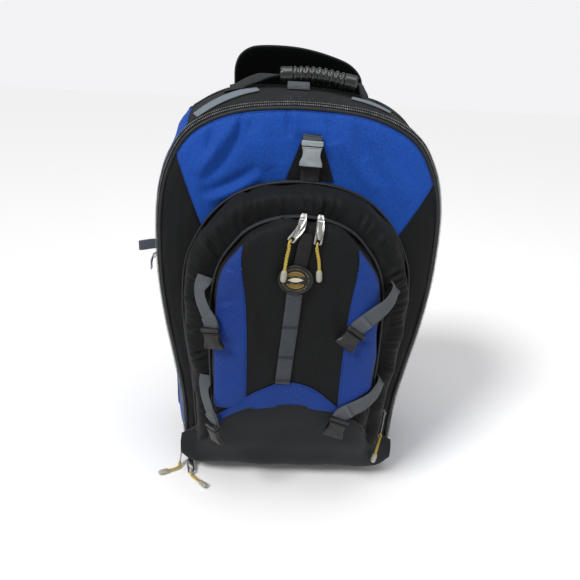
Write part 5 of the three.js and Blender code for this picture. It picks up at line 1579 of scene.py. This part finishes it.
def ovalRings(profile, y):
    angle = np.linspace(0, 2 * math.pi, 72, endpoint=False)
    return np.array([[(badge["x"] + math.cos(a) * share * badge["wide"] / 2, y - depth,
                       badge["z"] + math.sin(a) * share * badge["high"] / 2) for a in angle]
                     for share, depth in profile])


def addBadge(y):
    deep = badge["thick"]
    body = ovalRings([(0.9, 0), (0.98, 0.3), (1.0, 0.9), (0.99, deep - 0.6), (0.95, deep),
                      (0.9, deep), (0.87, deep - 0.7), (0.64, deep - 0.7), (0.62, deep - 0.1),
                      (0.59, deep), (0.56, deep - 0.5), (0.02, deep - 0.5)], y)
    addPiece("badge", ringMesh("badge", body, sharp=45), "rubber", "black_rubber", "badge")
    ring = ovalRings([(0.755, deep - 0.4)], y)[0]
    ring = np.vstack([ring, ring[:1]])
    ways = np.broadcast_to((0.0, 0.0, 1.0), ring.shape)
    dots = bead("badgeDot", 1.5, 1.5, 0.8)
    addCopies("badgeDots", [ring], [ways], dots, 2.9, "brass", 0.35, 9, "zinc_pull")
    parts = []
    for i in range(badge["arcs"]):
        reach = 0.5 - 0.13 * i
        turn = np.radians(np.linspace(20, 160, 24))
        for side in (-1, 1):
            arc = np.column_stack([
                badge["x"] + np.cos(turn) * reach * badge["wide"] / 2,
                np.full(24, y - deep + 0.3),
                badge["z"] + side * (2.6 + np.sin(turn) * reach * badge["high"] / 2 * 0.8)])
            parts.append(webbingMesh("arc", arc, (0, -1, 0), 1.5 - 0.25 * i, 0.9, 0.8))
    dress(joined("badgeArcs", parts, "brass"), "bag", "zinc_pull")
    line = np.array([(badge["x"] - 9, y - deep + 0.2, badge["z"]),
                     (badge["x"] + 9, y - deep + 0.2, badge["z"] + 0.4)])
    lens = softOutline([(0, -1.2), (2.4, 5), (2.9, 9), (2.4, 13), (0, 19), (-2.4, 13), (-2.9, 9),
                        (-2.4, 5)], 48, 3)
    middle = plateMesh("badgeMiddle", lens, -0.3, 0.6, line, (0, -1, 0), 0.3)
    addPiece("badgeMiddle", middle, "cream", "zinc_pull")


addBadge(addLadder())
print("front trim sewn")

# Haul handle: a ribbed sleeve on webbing, open at its ends
haul = {"y": 60, "line": [(-32, 560.5), (13, 562), (66, 554)], "long": 100, "across": 22,
        "bore": 13, "ribs": 9, "web": 25, "taper": 8}


def addHaul():
    given = np.array([(x, haul["y"], z) for x, z in haul["line"]], float)
    line = smoothLine(given, 241)
    centre = line[120]
    line = centre + (line - centre) * haul["long"] / lengthAlong(line)[-1]
    t = np.linspace(0, 1, len(line))
    turn = (t - 0.19) / (0.8 - 0.19) * (haul["ribs"] - 1)
    wave = np.clip(np.cos(2 * math.pi * turn) * 2.2, -1, 1)
    ribbed = ease(-0.5, -0.4, turn) * ease(haul["ribs"] - 0.5, haul["ribs"] - 0.6, turn)
    radius = haul["across"] / 2 * (1 + ribbed * (wave * 0.085 - 0.06))
    radius = radius * (1 - 0.12 * np.exp(-(t / 0.012) ** 2)
                       - 0.12 * np.exp(-((1 - t) / 0.012) ** 2))
    outer = tubeRings(line, radius, 40)
    inner = tubeRings(line, haul["bore"] / 2 + 2 * np.exp(-(t / 0.02) ** 2)
                      + 2 * np.exp(-((1 - t) / 0.02) ** 2), 40)[::-6]
    mesh = ringMesh("haulGrip", np.concatenate([outer, inner]), closed=True, sharp=70)
    addPiece("haulGrip", mesh, "grip", "black_rubber", "haul_grip")
    ahead, behind = unit(line[-1] - line[-2]), unit(line[0] - line[1])
    y, web = haul["y"], haul["web"]
    path = np.array([onTop(-97, y, 1.6), onTop(-88, y, 2.4), (-76, y, 550), (-60, y, 556.5),
                     line[0] + behind * haul["taper"], *line[::60], line[-1] + ahead * 5,
                     (76, y, 545), onTop(79, y, 4), onTop(80, y, 1.4)])
    narrow = haul["bore"] - 2
    width = [web, web, web, web, narrow + 10, *[narrow] * 5, narrow + 6, web - 3, web, web]
    facing = np.tile((-0.15, 0.0, 1.0), (len(path), 1))
    facing[:4] = (-0.3, -0.35, 1)
    facing[-4:] = ((0.5, -0.3, 0.9), (0.9, -0.4, 0.4), (0.9, -0.4, 0.3), (0.9, -0.4, 0.2))
    strapPiece("haulWebbing", path, facing, width, "haulWeb", "black_webbing",
               "haul_webbing", 2.6)
    for name, x, long in (("haulAnchorLeft", -92, 24), ("haulAnchorRight", 84, 14)):
        side = math.copysign(1, x)
        sewn = [onTop(x + d * side, y, 1.1) for d in np.linspace(-long / 2, long / 2, 6)]
        strapPiece(name, sewn, (0, 0, 1), web + 1, "haulWeb", "black_webbing")


addHaul()

# Loop and strips of webbing on the top gusset
topWeb = {"loopX": -9, "loopWide": 28, "loopHigh": 9, "loopY": 42, "stripWide": 16,
          "strip": [(60, 38), (80, 33.5), (95, 29), (108, 25), (122, 20), (136, 15)]}


def addTopWebbing():
    half = topWeb["loopHigh"] * 0.8
    turn = np.linspace(0, math.pi, 9)
    path = [onTop(topWeb["loopX"], topWeb["loopY"] - half * math.cos(a), 1.4)
            + (0, 0, math.sin(a) * (topWeb["loopHigh"] - 1.8)) for a in turn]
    facing = np.array([(0, -math.cos(a), math.sin(a)) for a in turn])
    strapPiece("topLoop", path, facing, topWeb["loopWide"], "greyWeb", "grey_webbing",
               "top_loop")
    for name, side, count in (("Left", -1, 6), ("Right", 1, 4)):
        spots = [landing(topTree, (side * x, y, 700), (0, 0, -1))
                 for x, y in topWeb["strip"][:count]]
        path = [point + normal * 1.5 for point, normal in spots]
        strapPiece("topStrip" + name, path, [normal for _, normal in spots], topWeb["stripWide"],
                   "paleWeb", "grey_webbing", "top_strip_" + name.lower())


addTopWebbing()
print("top webbing sewn")

# Side zip at mid depth, with the tab and slider of its left end
sideZip = {"wide": 12, "proud": 0.7, "tabY": 75, "tabZ": 321, "tabLong": 36, "tabWide": 14,
           "sliderX": -204}


def addSideZip():
    deep = gusset["zipDepth"]
    columns = {"Left": leftGrid, "Top": topGrid, "Right": rightGrid}
    lines = []
    for key, grid in columns.items():
        share = (grid[:, 0, 1] - grid[0, 0, 1]) / (grid[-1, 0, 1] - grid[0, 0, 1])
        r = int(np.abs(share - deep).argmin())
        normals = normalsOf(grid, bagMiddle)
        line, out = grid[r], normals[r]
        over = unit(np.cross(out, np.gradient(line, axis=0)))
        half = sideZip["wide"] / 2
        profile = ((-1, 0.2), (-0.9, 0.8), (-0.25, 1), (-0.2, 1.7), (0, 1.9), (0.2, 1.7), (0.25, 1),
                   (0.9, 0.8), (1, 0.2))
        tape = np.array([line + over * half * u + out * sideZip["proud"] * w for u, w in profile])
        addPiece("sideZip" + key, clothMesh("sideZip" + key, tape, 0.5), "tape", "zip_tape")
        lines.append((line + out * (sideZip["proud"] * 1.9 + 0.2), over))
    teeth = bead("sideTooth", 1.0, 1.8, 0.9)
    addCopies("sideZipCoil", *zip(*lines), teeth, 1.9, "plastic", 0.1, 6)
    y, z, long = sideZip["tabY"], sideZip["tabZ"], sideZip["tabLong"]
    root = landing(sideTree, (-400, y, z), (1, 0, 0))[0]
    x, end = root[0] - 0.4, root[0] - long
    path = [(x, y - 1.4, z), ((x + end) / 2, y - 1.5, z - 2), (end + 2, y - 1.3, z - 5),
            (end, y, z - 5), (end + 2, y + 1.3, z - 5), ((x + end) / 2, y + 1.5, z - 2),
            (x, y + 1.4, z)]
    facing = np.array([(0, -1, 0), (0, -1, 0), (-0.3, -1, 0), (-1, 0, 0), (-0.3, 1, 0), (0, 1, 0),
                       (0, 1, 0)], float)
    strapPiece("sideTab", path, unit(facing), sideZip["tabWide"], "greyWeb", "grey_webbing",
               "side_tab", step=0.9)
    hang = landing(sideTree, (-400, y, z - 22), (1, 0, 0))[0] - (3.6, 0, 0)
    hang[0] = min(hang[0], sideZip["sliderX"])
    addPull("sideSlider", hang + (0, 0, 4), hang + (-6, 0, -3), hang + (-7, 0, -19), (-1, 0, 0.2),
            (-1, 0, 0.2), "side_slider")


addSideZip()
print("side zip sewn")

# Flap over the trolley grip: foam filled cloth with a bound edge
flap = {"wide": 181, "high": 56, "foot": 534, "y": 139.2, "lean": 0.05, "thick": 3.4,
        "top": [(-0.53, 0), (-0.528, 0.48), (-0.495, 0.75), (-0.42, 0.93), (-0.3, 1), (-0.03, 0.98),
                (0.21, 0.83), (0.37, 0.63), (0.45, 0.36), (0.47, 0)]}


def addFlap():
    top = smoothLine(np.array(flap["top"]) * (flap["wide"], flap["high"]), 110)
    top[:, 1] += 4
    low = np.column_stack([np.linspace(top[0, 0], top[-1, 0], 110), np.zeros(110)])
    flat = loft(low, top, np.linspace(0, 1, 22))
    near = distanceTo(flat, top)
    crown = flap["thick"] * (1 - np.exp(-near / 3))
    y = flap["y"] + flap["thick"] - crown + flat[..., 1] * flap["lean"]
    grid = np.stack([flat[..., 0], y, flat[..., 1] + flap["foot"]], -1)
    grid = relieved(grid, (), 0.7, 60, 51, ("last",), 0.5, np.array([0, 300.0, 560]))
    mesh = clothMesh("trolleyFlap", grid, 2.2, np.array([0.0, 300, 560]))
    # Its finish is black cloth darkened to painted shade behind the haul handle
    piece = addPiece("trolleyFlap", mesh, "flap", "black_cloth", "trolley_flap")
    edge = grid[-1] + (0, 0.6, 0)
    addPiece("flapBinding", tubeMesh("flapBinding", edge, 1.9, 10), "binding", "black_cloth")


addFlap()
print("flap sewn")


# Hard pieces kept from the solids, with their edges rounded
def softened(name, node, look, body, slot, bevel):
    source = bpy.data.objects[node]
    shell = bmesh.new()
    shell.from_mesh(source.data)
    shell.transform(source.matrix_world)
    bmesh.ops.remove_doubles(shell, verts=shell.verts, dist=1e-5)
    bmesh.ops.dissolve_limit(shell, angle_limit=math.radians(1.5), verts=shell.verts,
                             edges=shell.edges)
    mesh = bpy.data.meshes.new(name)
    shell.to_mesh(mesh)
    shell.free()
    piece = linkPiece(name, mesh, look)
    round_ = piece.modifiers.new("edges", "BEVEL")
    round_.width, round_.segments = bevel / 1000, 2
    round_.limit_method, round_.angle_limit = "ANGLE", math.radians(40)
    bpy.context.view_layer.update()
    made = bpy.data.meshes.new_from_object(
        piece.evaluated_get(bpy.context.evaluated_depsgraph_get()))
    piece.modifiers.clear()
    piece.data = made
    made.shade_smooth()
    made.set_sharp_from_angle(angle=math.radians(35))
    bpy.data.meshes.remove(mesh)
    return dress(piece, body, slot, node)


for name, node, look, body, slot, bevel in (
        ("baseTray", "base_tray", "plastic", "bag", "black_plastic", 0.7),
        ("standBar", "stand_bar", "rubber", "bag", "black_rubber", 1.4),
        ("trolleyTubeLeft", "trolley_tube_left", "alloy", "bag", "tube_alloy", 0.5),
        ("trolleyTubeRight", "trolley_tube_right", "alloy", "bag", "tube_alloy", 0.5),
        ("trolleyBezel", "trolley_bezel", "plastic", "bag", "black_plastic", 1.2),
        ("trolleyHandle", "trolley_handle", "plastic", "trolley", "black_plastic", 1.6)):
    softened(name, node, look, body, slot, bevel)
print("hard pieces rounded")

# Wheels: soft tyre with fine grooves, on a spoked hub
wheel = {"radius": 33, "half": 12, "bore": 4.4, "x": 138, "y": 132, "z": 33, "sides": 96,
         "spokes": 6}
tyreLine = np.array([  # radius share, half width share
    (0.74, 0.78), (0.78, 0.96), (0.84, 1.0), (0.92, 0.97), (0.965, 0.86), (0.97, 0.7),
    (0.985, 0.66), (0.985, 0.5), (0.972, 0.46), (0.99, 0.42), (0.997, 0.2), (0.985, 0.16),
    (0.985, 0.06), (1.0, 0.02)])
hubLine = np.array([
    (0.0, 1.0), (0.22, 1.0), (0.26, 0.96), (0.27, 0.7), (0.3, 0.62), (0.66, 0.62), (0.7, 0.66),
    (0.72, 0.84), (0.76, 0.84)])


def wheelRings(profile, spokes=0):
    turn = np.linspace(0, 2 * math.pi, wheel["sides"], endpoint=False)
    radius = np.maximum(profile[:, 0] * wheel["radius"], wheel["bore"])
    rings = []
    for a in turn:
        half = profile[:, 1] * wheel["half"]
        if spokes:
            near = np.abs(math.sin(a * spokes / 2))
            lift = (profile[:, 0] > 0.3) & (profile[:, 0] < 0.7)
            half = half + np.where(lift, 2.6 * ease(0.5, 0.25, near), 0)
        right = np.column_stack([half, radius * math.sin(a), radius * math.cos(a)])
        rings.append(np.vstack([right, (right * (-1, 1, 1))[::-1]]))
    return np.array(rings)


def addWheel(side, body, node):
    place = np.array([side * wheel["x"], wheel["y"], wheel["z"]])
    label = "Left" if side < 0 else "Right"
    tyre = wheelRings(tyreLine[::-1])
    mesh = ringMesh("tyre" + label, tyre + place, closed=True, sharp=50)
    addPiece("tyre" + label, mesh, "rubber", "black_rubber", node, body=body)
    shares = np.linspace(0.3, 0.7, 9)
    fine = np.vstack([hubLine[:4], np.column_stack([shares, np.full(9, 0.62)]), hubLine[-2:]])
    hub = wheelRings(fine, wheel["spokes"])
    mesh = ringMesh("hub" + label, hub + place, closed=True, sharp=50)
    addPiece("hub" + label, mesh, "greyPlastic", "black_plastic", body=body)


addWheel(-1, "wheel_left", "wheel_left")
addWheel(1, "wheel_right", "wheel_right")
print("wheels turned")

# Back panel: black cloth from the kick plate to the top
back = {"y": 152.6, "low": 66, "rows": 26, "cols": 260, "swing": 0.8, "pipingY": 151.0}


def addBackPanel():
    line = bodyLine(1, 0)
    edge = aboveLevel(line, back["low"], back["cols"])
    middle = np.column_stack([np.linspace(edge[0, 0], edge[-1, 0], back["cols"]) * 0.6,
                              np.full(back["cols"], back["low"])])
    flat = loft(edge, middle, np.linspace(0, 1, back["rows"]) ** 1.2)
    grid = fromPlane(flat, np.full(flat.shape[:2], back["y"]))
    grid = relieved(grid, (), back["swing"], 80, 61, ("first",), 0.6)
    addPiece("backPanel", clothMesh("backPanel", grid, 2.0), "black", "black_cloth", "back_panel")
    line = fromPlane(edge[::2], np.full(len(edge[::2]), back["pipingY"]))
    addPiece("backPiping", tubeMesh("backPiping", line, 2.0, 10), "piping", "zip_tape")


addBackPanel()

# Padded pieces: a remeshed copy of the solid, swelled by cloth simulation
padding = {"pressure": 4.0, "frames": 20, "shrink": 1.2,
           "back": (0.7, 4.0, 4.5), "shoulder": (0.8, 3.0, 3.2)}   # fill, most swell, voxel


def swelled(name, node, fill, cap, voxel):
    source = bpy.data.objects[node]
    mesh = source.data.copy()
    mesh.transform(source.matrix_world)
    piece = linkPiece(name, mesh, "pad")
    remesh = piece.modifiers.new("remesh", "REMESH")
    remesh.mode, remesh.voxel_size = "VOXEL", voxel / 1000
    smooth = piece.modifiers.new("smooth", "SMOOTH")
    smooth.iterations = 3
    applyAll(piece)
    normals = np.empty(len(piece.data.vertices) * 3)
    piece.data.vertices.foreach_get("normal", normals)
    points = pointsOf(piece.data) - normals.reshape(-1, 3) * padding["shrink"] / 1000
    piece.data.vertices.foreach_set("co", points.ravel())
    cloth = piece.modifiers.new("cloth", "CLOTH")
    cloth.settings.use_pressure = True
    cloth.settings.uniform_pressure_force = padding["pressure"]
    cloth.settings.effector_weights.gravity = 0
    scene = bpy.context.scene
    for number in range(1, padding["frames"] + 1):
        scene.frame_set(number)
    bpy.context.view_layer.update()
    swollen = piece.evaluated_get(bpy.context.evaluated_depsgraph_get()).data
    after = pointsOf(swollen)
    piece.modifiers.remove(cloth)
    scene.frame_set(1)
    moved = after - points
    moved -= moved.mean(0)
    far = np.linalg.norm(moved, axis=1, keepdims=True)
    points = points + moved * np.minimum(1, cap / 1000 / np.maximum(far, 1e-9))
    piece.data.vertices.foreach_set("co", points.ravel())
    finer = piece.modifiers.new("finer", "SUBSURF")
    finer.levels = finer.render_levels = 1
    applyAll(piece)
    piece.data.shade_smooth()
    dress(piece, "bag", "black_cloth", node)


def pointsOf(mesh):
    points = np.empty(len(mesh.vertices) * 3)
    mesh.vertices.foreach_get("co", points)
    return points.reshape(-1, 3)


def applyAll(piece):
    bpy.context.view_layer.update()
    made = bpy.data.meshes.new_from_object(
        piece.evaluated_get(bpy.context.evaluated_depsgraph_get()))
    piece.modifiers.clear()
    piece.data = made


swelled("backPad", "back_pad", *padding["back"])
for label in ("Left", "Right"):
    swelled("shoulderStrap" + label, "shoulder_strap_" + label.lower(), *padding["shoulder"])
print("pads swelled")

# Shoulder straps: bound edges, webbing down the middle, tails to the lower corners
shoulder = {"thick": 11, "wide": 62, "tubeTop": 498, "padFace": 186.6, "bind": 2.0,
            "line": [(42, -1.4, 0.972, 0.95), (46, 16, 0.928, 1), (60, 32, 0.823, 1),
                     (74, 38, 0.693, 1), (84, 34, 0.562, 0.92), (88, 24, 0.458, 0.75),
                     (90, 14, 0.394, 0.5)],
            "tail": [(88.6, 20.5, 0.436), (90.4, 14.6, 0.4), (103, 8, 0.301), (122, 3, 0.233),
                     (136, -6, 0.197), (142, -24, 0.177), (143, -38, 0.171)], "tailWide": 24}


def backPoints(rows, side):
    rows = np.array(rows, float)
    y = shoulder["padFace"] + 0.7 + shoulder["thick"] / 2 + rows[:, 1]
    return np.column_stack([side * rows[:, 0], y, rows[:, 2] * shoulder["tubeTop"]])


def addShoulder(side, label):
    given = backPoints(shoulder["line"], side)
    line = smoothLine(given, 90)
    s = lengthAlong(given) / lengthAlong(given)[-1]
    half = np.interp(np.linspace(0, 1, 90), s, [row[3] for row in shoulder["line"]])
    half = half * shoulder["wide"] / 2
    _, across, out = framesAlong(line, (0, 1, 0))
    for edge, way in (("Inner", -1), ("Outer", 1)):
        name = "shoulderBinding" + label + edge
        path = (line + across * (way * (half - 0.6))[:, None])[2:-2]
        addPiece(name, tubeMesh(name, path, shoulder["bind"], 8), "binding", "black_cloth")
    middle = (line + out * (shoulder["thick"] / 2 + 2.2))[6:78:6]
    strapPiece("shoulderWebbing" + label, middle, (0, 1, 0), 25, "blackWeb", "black_webbing")
    tail = backPoints(shoulder["tail"], side)
    share = np.clip(np.linspace(-0.2, 1, len(tail)), 0, 1) ** 2
    facing = unit(np.column_stack([side * share * 1.6, 1 - share, np.zeros(len(tail))]))
    strapPiece("shoulderTail" + label, tail, facing, shoulder["tailWide"], "blackWeb",
               "black_webbing", "shoulder_tail_" + label.lower())


addShoulder(-1, "Left")
addShoulder(1, "Right")
print("shoulder straps sewn")

# Stitches beside the seams that show
seamRows = {"panel": 2.6, "top": 4, "base": 3.5, "face": 2.4}


def addStitches():
    inset, face = seamRows["panel"], seamRows["face"]
    rows = [seamLine(panelGrids["Top"], which, inset) for which in ("first", "left", "right")]
    stitches("panelStitches", rows, "blueThread", slot="blue_cloth")
    rows = [seamLine(panelGrids[key], "first", inset) for key in ("Left", "Right")]
    rows += [seamLine(topGrid, which, seamRows["top"]) for which in ("left", "right")]
    rows.append(seamLine(baseGrid, "last", seamRows["base"]))
    stitches("edgeStitches", rows, "thread")
    rows = [seamLine(faceGrids[key], which, face) for key in ("Left", "Right")
            for which in ("first", "last")]
    rows.append(seamLine(faceGrids["smile"], "first", face))
    stitches("faceStitches", rows, "blueThread", slot="blue_cloth")


addStitches()
print("seams stitched")


# Studio: pale floor, soft light from above and in front
studio = {"floor": 6.0, "below": 0.0005, "floorColor": srgb(252, 252, 252), "world": 0.42,
          "behind": 0.935, "sun": 2.3}


def addStudio():
    mesh = bpy.data.meshes.new("floor")
    half, low = studio["floor"], -studio["below"]
    mesh.from_pydata([(-half, -half, low), (half, -half, low), (half, half, low),
                      (-half, half, low)], [], [(0, 1, 2, 3)])
    settings = {"Roughness": 0.9, "Base Color": studio["floorColor"]}
    mesh.materials.append(baseMaterial("paleFloor", settings)[0])
    linkPiece("floor", mesh)
    world = bpy.data.worlds.new("studio")
    world.use_nodes = True
    nodes, join = world.node_tree.nodes, world.node_tree.links.new
    background = nodes["Background"]
    background.inputs["Color"].default_value = srgb(250, 250, 252)
    rays, strength = nodes.new("ShaderNodeLightPath"), nodes.new("ShaderNodeMapRange")
    strength.inputs["To Min"].default_value = studio["world"]
    strength.inputs["To Max"].default_value = studio["behind"]
    join(rays.outputs["Is Camera Ray"], strength.inputs["Value"])
    join(strength.outputs["Result"], background.inputs["Strength"])
    bpy.context.scene.world = world
    bpy.context.scene.view_settings.view_transform = "Standard"
    for name, kind, place, size, power in (
            ("keySun", "SUN", (-0.9, -0.8, 1.5), math.radians(18), studio["sun"]),
            ("fillLight", "AREA", (1.3, -1.2, 0.9), 1.2, 5),
            ("topLight", "AREA", (0.0, -0.2, 1.8), 1.0, 8)):
        data = bpy.data.lights.new(name, kind)
        data.energy = power
        if kind == "SUN":
            data.angle = size
        else:
            data.size = size
        light = bpy.data.objects.new(name, data)
        spot = Vector(place)
        light.location = spot
        light.rotation_euler = (Vector((0, 0, 0.28)) - spot).to_track_quat("-Z", "Y").to_euler()
        bpy.context.scene.collection.objects.link(light)


addStudio()
print("studio lit")
